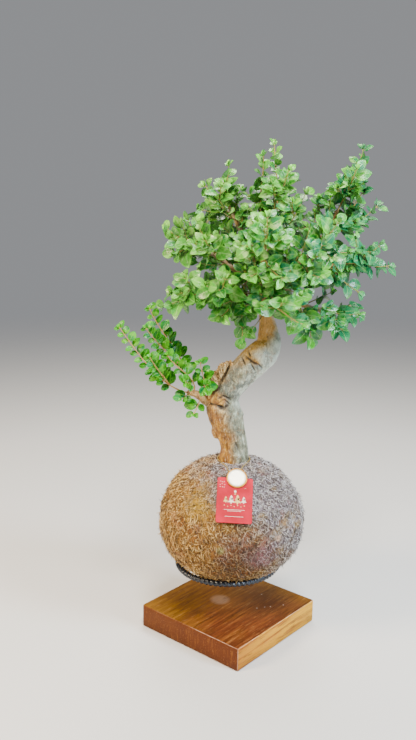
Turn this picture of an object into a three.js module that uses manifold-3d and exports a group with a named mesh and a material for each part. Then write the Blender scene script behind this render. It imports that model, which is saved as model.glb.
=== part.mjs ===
// A kokedama: a small tree growing out of a ball of soil wrapped in fibre, which sits in a
// black ring stand on a square wooden block and carries a card on a cord.
// Millimetres, +Z up. The origin is the centre of the block's underside.
import * as THREE from 'three';
import { mergeVertices } from 'three/addons/utils/BufferGeometryUtils.js';
import Module from 'manifold-3d';

const wasm = await Module();
wasm.setup();

// Driving dimensions
const BLOCK_SIDE = 162;
const BLOCK_THICK = 31;
const BLOCK_ROUND = 2;
const PLANT_TURN = THREE.MathUtils.degToRad(40.7);
const GAP = 0.3;

const BALL_X = 1.5;
const BALL_Z = 150.4;
const BALL_RADIUS = 92.3;
const BALL_UP = 83;
const BALL_DOWN = 78;
const BALL_RELIEF = 0.9;
const WRAP_THICK = 7;
const MOUTH_RADIUS = 21;

const RING_X = -2.8;
const RING_Z = BLOCK_THICK + 59.2;
const RING_RADIUS = 64.4;
const BAR_RADIUS = 4;
const POST_Y = 84;
const POST_BEND = 15;
const SOCKET_DEPTH = 18;

const CARD_WIDTH = 43;
const CARD_HEIGHT = 57;
const CARD_THICK = 0.8;
const CARD_POINT = new THREE.Vector3(2.7, -71.8, 202.6);
const CARD_STANDOFF = 1.9;
const CARD_LEAN = THREE.MathUtils.degToRad(2.4);
const MEDAL_RADIUS = 12.6;
const MEDAL_THICK = 1.8;
const MEDAL_X = 1.8;
const SHANK_RADIUS = 2;
const SHANK_DROP = 6;
const CORD_RADIUS = 0.7;
const CORD_LOOP = [[-7, -27], [-13.5, -15.5], [-17.2, -1], [-12, 14], [3, 21], [18, 15], [24, 0.5],
  [20.5, -14], [13, -29]];

const BLADE_THICK = 0.7;
const STALK_HALF = 0.45;
const STALK_LENGTH = 3.2;
const TWIG_ROOT_RADIUS = 1.5;
const TWIG_TIP_RADIUS = 1;
const JOINT_LENGTH = 2.4;
const FORK_ALONG = 0.2;
const TURNS = [0, 0.5, -0.5, 1, -1];
const CANOPY_CENTRE = new THREE.Vector3(45, 0, 470);

// Trunk stations: x, y, z and radius, from the foot in the soil to the crown
const TRUNK = [
  [2, 0, 184, 12.5], [2, 0, 204, 16], [2.5, 0, 222, 18.6], [3.5, 0, 235, 18.6], [3, 0, 249, 17],
  [-2, 0, 268, 18], [-8.3, 0, 288, 21.5], [-11.3, 0, 300, 21.5], [-11, 0, 312, 19],
  [-3.5, 0, 326, 17.8], [9, 0, 341, 18.2], [25.5, 0, 357, 18.8], [39, 0, 370, 18.5], [44.5, 1, 382, 16],
  [43.5, 2, 395, 12.5], [42, 2, 408, 9.6], [40, 2, 422, 8.4], [38, 2, 434, 6.5],
];
const BARK_RIDGE = [
  [-19, -2, 306, 5], [-23, -3, 320, 7], [-21, -3, 335, 7.5], [-12, -2, 348, 7], [0, -1, 357, 5],
];
const SPUR = [[-9, 0, 286, 10], [-15, -1, 274, 9.5], [-18, -1, 265, 7.5], [-19.5, -1, 259.5, 3.5]];

// Limbs: points of each centreline, with the radius at its root and at its end
const LIMBS = {
  stub: { path: [[-14, -2, 300], [-31, -2, 307], [-44, -5, 317], [-56, -8, 320]], radii: [8, 3] },
  left: { path: [[37, 2, 428], [7, -10, 467], [-24, -20, 491], [-44, -25, 501]], radii: [4.2, 1.9] },
  tall: { path: [[37, 2, 428], [19, 8, 484], [4, 12, 525], [-8, 15, 549]], radii: [4, 1.8] },
  top: { path: [[38, 2, 428], [41, 0, 482], [45, 0, 514], [49, 0, 538]], radii: [4.6, 2] },
  high: { path: [[39, 2, 428], [63, 5, 460], [84, 8, 479], [108, 10, 513], [124, 10, 544]],
    radii: [4.6, 1.9] },
  right: { path: [[40, 2, 426], [74, -5, 461], [103, -10, 476], [132, -12, 482]], radii: [4.2, 1.9] },
  front: { path: [[37, 0, 428], [31, -40, 474], [33, -68, 502]], radii: [3.8, 1.9] },
  back: { path: [[38, 4, 428], [47, 42, 471], [61, 72, 503]], radii: [3.8, 1.9] },
  frontLeft: { path: [[36, 0, 424], [7, -20, 446], [-17, -30, 454]], radii: [3.6, 1.9] },
  low: { path: [[41, 2, 420], [61, -14, 432], [85, -21, 432], [105, -24, 426]], radii: [3.8, 1.8] },
  backLeft: { path: [[36, 4, 428], [6, 42, 474], [-22, 66, 502]], radii: [3.8, 1.9] },
  frontRight: { path: [[40, 0, 428], [64, -35, 474], [86, -58, 498]], radii: [3.8, 1.9] },
  backRight: { path: [[40, 4, 426], [70, 40, 450], [103, 60, 467]], radii: [3.8, 1.9] },
  backLow: { path: [[37, 4, 422], [10, 30, 438], [-18, 42, 446]], radii: [3.4, 1.8] },
  under: { path: [[40, 0, 420], [42, -28, 434], [46, -54, 435]], radii: [3.2, 1.8] },
};

// Sprays: the limb, how far along it the spray is rooted, and the tip of each of its shoots
const SPRAYS = [
  ['top', 1, [45, 0, 620], [60, -30, 590]],
  ['top', 0.8, [33, 8, 608]],
  ['top', 0.72, [83, -12, 565]],
  ['top', 0.85, [66, 48, 583]],
  ['tall', 1, [-8, 12, 596]],
  ['tall', 0.88, [-36, 0, 572]],
  ['tall', 0.8, [-30, 44, 558]],
  ['left', 1, [-80, -27, 522], [-70, -36, 494]],
  ['left', 0.88, [-57, -4, 532]],
  ['left', 0.7, [-36, -58, 512]],
  ['frontLeft', 1, [-74, -36, 450], [-84, -42, 434]],
  ['frontLeft', 0.8, [-34, -76, 462]],
  ['frontLeft', 0.6, [-16, -48, 422]],
  ['frontLeft', 0.42, [10, -40, 396]],
  ['high', 1, [152, 10, 616], [138, -26, 592]],
  ['high', 0.92, [152, 2, 566]],
  ['high', 0.82, [174, 18, 550], [150, 44, 556]],
  ['high', 0.74, [106, 26, 558]],
  ['right', 1, [186, -10, 480], [168, -34, 506]],
  ['right', 0.86, [148, -28, 450]],
  ['right', 0.78, [160, 36, 494]],
  ['low', 1, [131, -30, 404], [142, -8, 432]],
  ['low', 0.78, [92, -34, 394]],
  ['low', 0.6, [84, -66, 424]],
  ['front', 1, [32, -98, 540], [4, -94, 508]],
  ['front', 0.8, [52, -96, 472]],
  ['back', 1, [66, 100, 548], [92, 96, 512]],
  ['back', 0.8, [34, 96, 490]],
  ['backLeft', 1, [-44, 84, 542], [-60, 76, 504]],
  ['backLeft', 0.8, [-26, 94, 476]],
  ['backLeft', 0.62, [-8, 72, 546]],
  ['frontRight', 1, [112, -78, 534], [126, -72, 500]],
  ['frontRight', 0.8, [92, -92, 474]],
  ['backRight', 1, [146, 74, 492], [130, 84, 450]],
  ['backLow', 1, [-60, 44, 460], [-40, 62, 432]],
  ['under', 1, [52, -92, 446], [76, -84, 420]],
  ['stub', 1, [-138, -25, 405], [-100, -42, 372]],
  ['stub', 0.93, [-104, 12, 423], [-107, -12, 402]],
  ['stub', 0.8, [-80, -30, 372]],
  ['stub', 0.6, [-40, -22, 362]],
  ['stub', 0.52, [-48, -22, 296]],
];

// Vectors
function vec(p) {
  return new THREE.Vector3(p[0], p[1], p[2]);
}

function across(direction, reference) {
  const side = reference.clone().addScaledVector(direction, -reference.dot(direction));
  return side.normalize();
}

// A repeatable draw between 0 and 1 for any three whole numbers
function draw(a, b, c) {
  let mix = Math.imul(a + 1, 73856093) ^ Math.imul(b + 1, 19349663) ^ Math.imul(c + 1, 83492791);
  mix >>>= 0;
  mix = Math.imul(mix ^ (mix >>> 13), 1274126177) >>> 0;
  return ((mix ^ (mix >>> 16)) >>> 0) / 4294967296;
}

// The same surface with its shared corners merged, and nothing but positions
function joined(geometry) {
  const plain = geometry.clone();
  plain.deleteAttribute('normal');
  plain.deleteAttribute('uv');
  return mergeVertices(plain, 1e-4);
}

// A closed geometry as a manifold solid, with its faces turned outwards
function toSolid(geometry) {
  const merged = joined(geometry);
  const vertProperties = Float32Array.from(merged.attributes.position.array);
  const triangles = [];
  for (let i = 0; i < merged.index.count; i += 3) {
    const [a, b, c] = [0, 1, 2].map((k) => merged.index.getX(i + k));
    if (a !== b && b !== c && c !== a) triangles.push(a, b, c);
  }
  if (signedVolume(vertProperties, triangles) < 0) triangles.reverse();
  const triVerts = Uint32Array.from(triangles);
  return new wasm.Manifold(new wasm.Mesh({ numProp: 3, vertProperties, triVerts }));
}

function signedVolume(positions, triangles) {
  const corners = [new THREE.Vector3(), new THREE.Vector3(), new THREE.Vector3()];
  let volume = 0;
  for (let i = 0; i < triangles.length; i += 3) {
    corners.forEach((corner, k) => corner.fromArray(positions, triangles[i + k] * 3));
    volume += corners[0].dot(corners[1].clone().cross(corners[2])) / 6;
  }
  return volume;
}

function toGeometry(solid) {
  const mesh = solid.getMesh();
  const geometry = new THREE.BufferGeometry();
  geometry.setAttribute('position', new THREE.BufferAttribute(Float32Array.from(mesh.vertProperties), 3));
  geometry.setIndex(new THREE.BufferAttribute(Uint32Array.from(mesh.triVerts), 1));
  geometry.computeVertexNormals();
  return geometry;
}

function fuse(solids) {
  return solids.reduce((whole, solid) => whole.add(solid));
}

// A tube whose radius follows radiusAt(along, angle), made by bending a cylinder along a curve
function bentTube(curve, radiusAt, sides, steps) {
  const geometry = joined(new THREE.CylinderGeometry(1, 1, 1, sides, steps));
  const chord = curve.getPoint(1).sub(curve.getPoint(0));
  const alongDepth = Math.abs(chord.y) > 0.8 * chord.length();
  const reference = alongDepth ? new THREE.Vector3(1, 0, 0) : new THREE.Vector3(0, 1, 0);
  const position = geometry.attributes.position;
  const p = new THREE.Vector3();
  for (let i = 0; i < position.count; i++) {
    p.fromBufferAttribute(position, i);
    const along = THREE.MathUtils.clamp(p.y + 0.5, 0, 1);
    const spread = Math.hypot(p.x, p.z);
    const tangent = curve.getTangent(along);
    const first = across(tangent, reference);
    const second = first.clone().cross(tangent);
    const radius = radiusAt(along, Math.atan2(p.z, p.x));
    const place = curve.getPoint(along);
    place.addScaledVector(first, p.x * radius * Math.min(spread, 1));
    place.addScaledVector(second, p.z * radius * Math.min(spread, 1));
    position.setXYZ(i, place.x, place.y, place.z);
  }
  return geometry;
}

function stationTube(stations, sides, steps, relief = () => 0) {
  const curve = new THREE.CatmullRomCurve3(stations.map(vec));
  const last = stations.length - 1;
  const radiusAt = (along, angle) => {
    const at = Math.min(Math.floor(along * last), last - 1);
    const radius = THREE.MathUtils.lerp(stations[at][3], stations[at + 1][3], along * last - at);
    return radius * (1 + relief(along, angle));
  };
  return bentTube(curve, radiusAt, sides, steps);
}

// Base block with a blind hole for the post, in the block's own axes
function blockGeometry() {
  const half = BLOCK_SIDE / 2 - BLOCK_ROUND;
  const outline = new THREE.Shape();
  outline.moveTo(-half, -half);
  outline.lineTo(half, -half);
  outline.lineTo(half, half);
  outline.lineTo(-half, half);
  outline.closePath();
  const block = new THREE.ExtrudeGeometry(outline, {
    depth: BLOCK_THICK - 2 * BLOCK_ROUND,
    bevelThickness: BLOCK_ROUND,
    bevelSize: BLOCK_ROUND,
    bevelSegments: 3,
  });
  block.translate(0, 0, BLOCK_ROUND);
  const depth = SOCKET_DEPTH + GAP;
  const hole = new THREE.CylinderGeometry(BAR_RADIUS + GAP, BAR_RADIUS + GAP, 2 * depth, 16);
  hole.rotateX(Math.PI / 2);
  hole.translate(RING_X, POST_Y, BLOCK_THICK);
  hole.rotateZ(PLANT_TURN);
  return toGeometry(toSolid(block).subtract(toSolid(hole)));
}

// Ring stand: the ring that the ball sits in, welded to its post
function ringSolid(barRadius) {
  const ring = new THREE.TorusGeometry(RING_RADIUS, barRadius, 8, 40);
  ring.translate(RING_X, 0, RING_Z);
  return toSolid(ring);
}

function standGeometry() {
  const bendCentre = [POST_Y - POST_BEND, RING_Z - POST_BEND];
  const points = [new THREE.Vector3(RING_X, POST_Y, BLOCK_THICK - SOCKET_DEPTH)];
  for (let step = 0; step <= 5; step++) {
    const angle = (step / 5) * (Math.PI / 2);
    const y = bendCentre[0] + POST_BEND * Math.cos(angle);
    const z = bendCentre[1] + POST_BEND * Math.sin(angle);
    points.push(new THREE.Vector3(RING_X, y, z));
  }
  points.push(new THREE.Vector3(RING_X, RING_RADIUS, RING_Z));
  return toGeometry(ringSolid(BAR_RADIUS).add(toSolid(barThrough(points))));
}

// A round bar through given points in the plane x = const, one ring of corners at each point
function barThrough(points) {
  const last = points.length - 1;
  const geometry = joined(new THREE.CylinderGeometry(BAR_RADIUS, BAR_RADIUS, 1, 8, last));
  const position = geometry.attributes.position;
  const p = new THREE.Vector3();
  for (let i = 0; i < position.count; i++) {
    p.fromBufferAttribute(position, i);
    const row = Math.round((p.y + 0.5) * last);
    const before = points[Math.max(row - 1, 0)];
    const after = points[Math.min(row + 1, last)];
    const tangent = after.clone().sub(before).normalize();
    const first = new THREE.Vector3(1, 0, 0);
    const second = first.clone().cross(tangent);
    const place = points[row].clone();
    place.addScaledVector(first, p.x).addScaledVector(second, p.z);
    position.setXYZ(i, place.x, place.y, place.z);
  }
  return geometry;
}

// Ball of soil and its fibre wrap
function ballPoint(latitude, shrink) {
  const rise = latitude < 0 ? BALL_DOWN : BALL_UP;
  const radius = (BALL_RADIUS - shrink) * Math.cos(latitude);
  return new THREE.Vector2(Math.max(radius, 0), (rise - shrink) * Math.sin(latitude));
}

function latitudes(from, to, steps) {
  return Array.from({ length: steps + 1 }, (unused, i) => from + ((to - from) * i) / steps);
}

function turned(profile, segments) {
  const geometry = joined(new THREE.LatheGeometry(profile, segments));
  geometry.rotateX(Math.PI / 2);
  return geometry;
}

function innerLatitudes() {
  return latitudes(-Math.PI / 2, Math.acos(MOUTH_RADIUS / (BALL_RADIUS - WRAP_THICK)), 7);
}

function wrapGeometry() {
  const mouth = Math.acos(MOUTH_RADIUS / BALL_RADIUS);
  const outer = latitudes(-Math.PI / 2, mouth, 15).map((angle) => ballPoint(angle, 0));
  const inner = innerLatitudes().reverse().map((angle) => ballPoint(angle, WRAP_THICK));
  const geometry = turned([...outer, ...inner], 32);
  addRelief(geometry, BALL_RADIUS - WRAP_THICK / 2);
  geometry.translate(BALL_X, 0, BALL_Z);
  return toGeometry(toSolid(geometry).subtract(ringSolid(BAR_RADIUS + GAP)));
}

// Low lumps over the outside of the wrap, none near the mouth
function addRelief(geometry, fromRadius) {
  const position = geometry.attributes.position;
  const p = new THREE.Vector3();
  for (let i = 0; i < position.count; i++) {
    p.fromBufferAttribute(position, i);
    const scaled = Math.hypot(p.x, p.y, (p.z * BALL_RADIUS) / (p.z < 0 ? BALL_DOWN : BALL_UP));
    const nearMouth = p.z > 0 && Math.hypot(p.x, p.y) < 1.6 * MOUTH_RADIUS;
    if (scaled < fromRadius || nearMouth) continue;
    const turn = Math.atan2(p.y, p.x);
    const lump = Math.sin(5 * turn + p.z / 11) + Math.sin(9 * turn - p.z / 7 + 2);
    p.multiplyScalar(1 + (0.5 * BALL_RELIEF * lump) / BALL_RADIUS);
    position.setXYZ(i, p.x, p.y, p.z);
  }
}

function coreGeometry() {
  const shrink = WRAP_THICK + 2.5 * GAP;
  const profile = [...innerLatitudes(), Math.PI / 2].map((angle) => ballPoint(angle, shrink));
  const core = turned(profile, 24);
  core.translate(BALL_X, 0, BALL_Z);
  const socket = TRUNK.slice(0, 4).map(([x, y, z, radius]) => [x, y, z, radius * 1.02 + GAP]);
  socket[0][2] -= GAP;
  return toGeometry(toSolid(core).subtract(toSolid(stationTube(socket, 14, 4))));
}

// Trunk with its bark ridge, spur and limbs, grown as one piece
function trunkRelief(along, angle) {
  const { smoothstep } = THREE.MathUtils;
  const shown = smoothstep(along, 0.2, 0.3) * (1 - smoothstep(along, 0.8, 0.9));
  return shown * (0.035 * Math.sin(3 * angle + 9 * along) + 0.03 * Math.sin(5 * angle - 23 * along));
}

function limbCurve(limb) {
  return new THREE.CatmullRomCurve3(limb.path.map(vec));
}

function limbRadius(limb, along) {
  return THREE.MathUtils.lerp(limb.radii[0], limb.radii[1], along);
}

function trunkSolid() {
  const parts = [toSolid(stationTube(TRUNK, 14, 28, trunkRelief))];
  parts.push(toSolid(stationTube(BARK_RIDGE, 6, 5)));
  parts.push(toSolid(stationTube(SPUR, 6, 3)));
  for (const limb of Object.values(LIMBS)) {
    const [sides, steps] = limb === LIMBS.stub ? [8, 8] : [5, 4];
    const tube = bentTube(limbCurve(limb), (along) => limbRadius(limb, along), sides, steps);
    parts.push(toSolid(tube));
  }
  return fuse(parts);
}

// A closed body being built corner by corner: each ring is four corners, in order about its axis
function startBody() {
  return { points: [], faces: [] };
}

function addRing(body, corners) {
  return corners.map((corner) => body.points.push(corner.clone()) - 1);
}

function addQuad(body, a, b, c, d) {
  body.faces.push(a, b, c, a, c, d);
}

// The four sides between two rings, leaving out the faces that something grows from
function addSides(body, from, to, openFaces = []) {
  for (let k = 0; k < 4; k++) {
    const next = (k + 1) % 4;
    if (!openFaces.includes(k)) addQuad(body, from[k], from[next], to[next], to[k]);
  }
}

// Sides from an open face to a ring outside it, each corner joined to its nearest
function bridge(body, face, ring) {
  const reach = (turn) => face.reduce((sum, corner, k) => (
    sum + body.points[corner].distanceToSquared(body.points[ring[(k + turn) % 4]])), 0);
  const best = [0, 1, 2, 3].reduce((a, b) => (reach(b) < reach(a) ? b : a));
  addSides(body, face, ring.map((unused, k) => ring[(k + best) % 4]));
}

function bodyGeometry(body) {
  const geometry = new THREE.BufferGeometry();
  const positions = body.points.flatMap((point) => point.toArray());
  geometry.setAttribute('position', new THREE.BufferAttribute(Float32Array.from(positions), 3));
  geometry.setIndex(body.faces);
  return geometry;
}

// One leaf: an arched ovate blade on a narrow stalk, which is bridged to the face it grows from
function addBlade(body, frame, length, width, grow, face) {
  const wide = frame.face.clone().cross(frame.way);
  const half = BLADE_THICK / 2 + grow;
  const place = (along, reach, rise) => frame.root.clone()
    .addScaledVector(frame.way, along)
    .addScaledVector(wide, reach)
    .addScaledVector(frame.face, rise);
  const ringAt = (along, reach, rise) => addRing(body, [[-1, -1], [1, -1], [1, 1], [-1, 1]].map(
    ([w, f]) => place(along, w * (reach + grow), rise + f * half)));
  const stalk = ringAt(0, STALK_HALF, 0);
  const broad = ringAt(0.3 * length, 0.47 * width, 0.03 * length);
  const narrow = ringAt(0.66 * length, 0.37 * width, 0);
  const [under, over] = addRing(body, [-half, half].map((f) => place(length + grow, 0, f - 0.1 * length)));
  addSides(body, stalk, broad);
  addSides(body, broad, narrow);
  body.faces.push(narrow[0], narrow[1], under, narrow[2], narrow[3], over);
  addQuad(body, narrow[1], narrow[2], over, under);
  addQuad(body, narrow[3], narrow[0], under, over);
  if (face) bridge(body, face, stalk);
  else addQuad(body, stalk[3], stalk[2], stalk[1], stalk[0]);
}

// The axes of a twig's section: level side, then the one square to it and to the twig
function sectionAxes(curve, along) {
  const chord = curve.getPoint(1).sub(curve.getPoint(0)).normalize();
  const steep = Math.abs(chord.z) > 0.75;
  const outward = curve.getPoint(0.5).sub(CANOPY_CENTRE).setZ(0).normalize();
  const tangent = curve.getTangentAt(along);
  const level = tangent.clone().cross(steep ? outward : new THREE.Vector3(0, 0, 1)).normalize();
  return { tangent, level, square: tangent.clone().cross(level) };
}

// Where a leaf grows: the root of its blade, the way it points and the way its upper face looks
function leafFrame(curve, along, side, pair, seed) {
  const { tangent, level, square } = sectionAxes(curve, along);
  const roll = side * (pair % 2 ? 0.55 : -0.2) + 0.5 * (draw(seed, pair, 1) - 0.5);
  const aside = level.clone().multiplyScalar(side * Math.cos(roll)).addScaledVector(square, Math.sin(roll));
  const way = tangent.clone().multiplyScalar(0.45 + 0.35 * draw(seed, pair, 2 + side));
  way.addScaledVector(aside, 0.9).normalize();
  const centre = curve.getPointAt(along);
  const outward = centre.clone().sub(CANOPY_CENTRE).normalize();
  const light = new THREE.Vector3(0, 0, 0.4).addScaledVector(outward, 0.9);
  light.x += 0.5 * (draw(seed, pair, 5 + side) - 0.5);
  light.y += 0.5 * (draw(seed, pair, 8 + side) - 0.5);
  const root = centre.addScaledVector(way, STALK_LENGTH);
  return { root, way, face: across(way, light.normalize()) };
}

function rolled(frame, roll) {
  return { ...frame, face: frame.face.clone().applyAxisAngle(frame.way, roll) };
}

// The shoots of a spray: the first from the limb to its tip, the others forking off the first
function shootCurves(spray) {
  const [limbName, rooted, ...tips] = spray;
  const limb = LIMBS[limbName];
  const curve = limbCurve(limb);
  const centre = curve.getPoint(rooted);
  const tangent = curve.getTangent(rooted);
  const main = vec(tips[0]);
  let start = tangent.clone();
  let clear = GAP;
  if (rooted < 1) {
    start = across(tangent, main.clone().sub(centre));
    clear = limbRadius(limb, rooted) + GAP;
  }
  const root = centre.clone().addScaledVector(start, clear);
  const curves = [arc(root, start, main)];
  for (const tip of tips.slice(1)) {
    const fork = curves[0].getPointAt(FORK_ALONG);
    curves.push(arc(fork, vec(tip).sub(fork).normalize(), vec(tip)));
  }
  return curves;
}

function arc(root, start, tip) {
  const reach = tip.distanceTo(root);
  const rise = tip.clone().sub(root).normalize();
  rise.z += 0.35;
  rise.normalize();
  const first = root.clone().addScaledVector(start, 0.3 * reach);
  const second = tip.clone().addScaledVector(rise, -0.3 * reach);
  return new THREE.CubicBezierCurve3(root, first, second, tip);
}

function twigRing(body, curve, along) {
  const { level, square } = sectionAxes(curve, along);
  const radius = THREE.MathUtils.lerp(TWIG_ROOT_RADIUS, TWIG_TIP_RADIUS, along);
  const centre = curve.getPointAt(along);
  return addRing(body, [1, 3, 5, 7].map((eighth) => centre.clone()
    .addScaledVector(level, radius * Math.cos((eighth * Math.PI) / 4))
    .addScaledVector(square, radius * Math.sin((eighth * Math.PI) / 4))));
}

// A twig from ring to ring; at each joint the faces it names stay open and are handed back
function addTwig(body, curve, joints, face) {
  const half = JOINT_LENGTH / 2 / curve.getLength();
  let ring = twigRing(body, curve, face ? 2 * half : 0);
  if (face) bridge(body, face, ring);
  else addQuad(body, ring[3], ring[2], ring[1], ring[0]);
  const grown = joints.map(({ along, open }) => {
    const lower = twigRing(body, curve, along - half);
    const upper = twigRing(body, curve, along + half);
    addSides(body, ring, lower);
    addSides(body, lower, upper, open);
    ring = upper;
    return open.map((k) => [lower[k], lower[(k + 1) % 4], upper[(k + 1) % 4], upper[k]]);
  });
  addQuad(body, ring[0], ring[1], ring[2], ring[3]);
  return grown;
}

// The face of a twig's section that looks most nearly along a direction
function faceTowards(curve, along, direction) {
  const { level, square } = sectionAxes(curve, along);
  const looks = [square, level.clone().negate(), square.clone().negate(), level];
  return looks.reduce((best, look, k) => (look.dot(direction) > looks[best].dot(direction) ? k : best), 0);
}

// Whether a solid meets any of the solids already placed
function meets(solid, others) {
  const box = solid.boundingBox();
  return others.some((other) => {
    const apart = [0, 1, 2].some((k) => box.min[k] > other.box.max[k] || box.max[k] < other.box.min[k]);
    return !apart && !solid.intersect(other.solid).isEmpty();
  });
}

function boxed(solid, owner) {
  return { solid, box: solid.boundingBox(), owner };
}

function bladeSolid(frame, length, width, grow) {
  const body = startBody();
  addBlade(body, frame, length, width, grow, null);
  return toSolid(bodyGeometry(body));
}

function twigSolid(curve) {
  const body = startBody();
  addTwig(body, curve, [{ along: 0.35, open: [] }, { along: 0.7, open: [] }]);
  return toSolid(bodyGeometry(body));
}

// The leaves of one shoot that find room, turned about their stalks where they would touch
function findLeaves(curve, pairs, seed, low, others, blades) {
  const leaves = [];
  pairs.forEach((along, pair) => {
    const full = (low ? 14 : 21) * (1.04 - 0.13 * pair);
    const length = full * (0.88 + 0.24 * draw(seed, pair, 11));
    const width = length * (low ? 0.74 : 0.6);
    for (const side of [1, -1]) {
      const frame = leafFrame(curve, along, side, pair, seed);
      const room = TURNS.find((roll) => {
        const wide = bladeSolid(rolled(frame, roll), length, width, 1.3 * GAP);
        return !meets(wide, others) && !meets(wide, blades);
      });
      if (room === undefined) continue;
      const turned = rolled(frame, room);
      blades.push(boxed(bladeSolid(turned, length, width, 0)));
      leaves.push({ along, side, frame: turned, length, width });
    }
  });
  return leaves;
}

// One spray: its twigs and leaves, as one closed body
function sprayGeometry(spray, index, taken) {
  const low = spray[0] === 'stub';
  const curves = shootCurves(spray);
  const blades = curves.map((curve) => boxed(twigSolid(curve)));
  const others = taken.filter((item) => item.owner !== index);
  const body = startBody();
  let forkFaces = [];
  curves.forEach((curve, shoot) => {
    const end = 1 - JOINT_LENGTH / 2 / curve.getLength();
    const pairs = shoot === 0 ? [0.4, 0.7, end] : [0.5, end];
    const leaves = findLeaves(curve, pairs, index * 4 + shoot, low, others, blades);
    const joints = pairs.map((along) => ({
      along,
      open: leaves.filter((leaf) => leaf.along === along).map((leaf) => (leaf.side > 0 ? 3 : 1)),
    }));
    if (shoot === 0) {
      const forks = curves.slice(1).map((fork) => faceTowards(curve, FORK_ALONG, fork.getTangent(0)));
      joints.unshift({ along: FORK_ALONG, open: forks });
    }
    const grown = addTwig(body, curve, joints, shoot === 0 ? null : forkFaces[shoot - 1]);
    if (shoot === 0) forkFaces = grown.shift();
    grown.flat().forEach((face, i) => {
      const leaf = leaves[i];
      addBlade(body, leaf.frame, leaf.length, leaf.width, 0, face);
    });
  });
  return bodyGeometry(body);
}

// Tag: the card, the medal with its shank, and the cord tied to the shank
function tagMatrix() {
  const centre = new THREE.Vector3(BALL_X, 0, BALL_Z);
  const local = CARD_POINT.clone().sub(centre);
  const normal = new THREE.Vector3(local.x, local.y, local.z * (BALL_RADIUS / BALL_UP) ** 2).normalize();
  const up = across(normal, new THREE.Vector3(Math.sin(CARD_LEAN), 0, Math.cos(CARD_LEAN)));
  const right = up.clone().cross(normal);
  const middle = CARD_POINT.clone().addScaledVector(normal, CARD_STANDOFF);
  return new THREE.Matrix4().makeBasis(right, up, normal).setPosition(middle);
}

const MEDAL_Y = CARD_HEIGHT / 2 - 0.5;
const SHANK_Y = MEDAL_Y - SHANK_DROP;

function cardGeometry() {
  const outline = new THREE.Shape();
  const [half, tall, corner] = [CARD_WIDTH / 2, CARD_HEIGHT / 2, 2];
  outline.moveTo(-half + corner, -tall);
  outline.lineTo(half - corner, -tall);
  outline.absarc(half - corner, -tall + corner, corner, -Math.PI / 2, 0);
  outline.lineTo(half, tall - corner);
  outline.absarc(half - corner, tall - corner, corner, 0, Math.PI / 2);
  outline.lineTo(-half + corner, tall);
  outline.absarc(-half + corner, tall - corner, corner, Math.PI / 2, Math.PI);
  outline.lineTo(-half, -tall + corner);
  outline.absarc(-half + corner, -tall + corner, corner, Math.PI, 1.5 * Math.PI);
  const hole = new THREE.Path();
  hole.absarc(MEDAL_X, SHANK_Y, SHANK_RADIUS + GAP, 0, 2 * Math.PI, true);
  outline.holes.push(hole);
  const card = new THREE.ExtrudeGeometry(outline,
    { depth: CARD_THICK, bevelEnabled: false, curveSegments: 3 });
  card.translate(0, 0, -CARD_THICK / 2);
  return card;
}

function medalGeometry() {
  const rim = 0.5;
  const back = CARD_THICK / 2 + GAP;
  const profile = [
    [0, back - 3.6], [SHANK_RADIUS, back - 3.6], [SHANK_RADIUS, back],
  ];
  const shank = turned(profile.concat([[0, back]]).map((p) => new THREE.Vector2(...p)), 10);
  shank.translate(MEDAL_X, SHANK_Y, 0);
  const discProfile = [
    [0, back - 0.2], [MEDAL_RADIUS - rim, back - 0.2],
    [MEDAL_RADIUS, back + rim], [MEDAL_RADIUS, back + 1.3],
    [MEDAL_RADIUS - rim, back + MEDAL_THICK], [MEDAL_RADIUS - 1.6, back + MEDAL_THICK - 0.5],
    [0, back + MEDAL_THICK - 0.2],
  ];
  const disc = turned(discProfile.map((p) => new THREE.Vector2(...p)), 24);
  disc.translate(MEDAL_X, MEDAL_Y, 0);
  return toGeometry(toSolid(disc).add(toSolid(shank)));
}

// The point at a height above the wrap's upper surface
function onWrap(x, y, lift) {
  const spread = Math.hypot(x - BALL_X, y) / BALL_RADIUS;
  return new THREE.Vector3(x, y, BALL_Z + BALL_UP * Math.sqrt(1 - spread * spread) + lift);
}

function cordGeometry() {
  const matrix = tagMatrix();
  const behind = -CARD_THICK / 2 - GAP - CORD_RADIUS - 0.4;
  const beside = SHANK_RADIUS + GAP;
  const atShank = (side, reach, rise) => (
    new THREE.Vector3(MEDAL_X + side * reach, SHANK_Y + rise, behind).applyMatrix4(matrix));
  const loop = CORD_LOOP.map(([x, y]) => onWrap(x, y, CORD_RADIUS + GAP));
  const points = [atShank(-1, beside, 0), atShank(-1, beside + 1.5, 1), ...loop,
    atShank(1, beside + 1.5, 1), atShank(1, beside, 0)];
  const curve = new THREE.CatmullRomCurve3(points);
  const section = new THREE.Shape();
  section.absarc(0, 0, CORD_RADIUS, 0, 2 * Math.PI);
  return new THREE.ExtrudeGeometry(section, { extrudePath: curve, steps: 44, curveSegments: 3 });
}

// Materials
function finish(color, roughness, metalness = 0) {
  return new THREE.MeshStandardMaterial({ color, roughness, metalness });
}

const MATERIALS = {
  block: finish(0x7a3a1c, 0.4),
  stand: finish(0x15161a, 0.5, 0.6),
  wrap: finish(0x8a6444, 0.95),
  core: finish(0x3a2a20, 1),
  trunk: finish(0xa9825a, 0.8),
  card: finish(0xc4233b, 0.6),
  medal: finish(0xe8d9a8, 0.25, 0.9),
  cord: finish(0xc9a13b, 0.5, 0.6),
};

function meshOf(name, geometry, material) {
  const mesh = new THREE.Mesh(geometry, material);
  mesh.name = name;
  return mesh;
}

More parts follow.
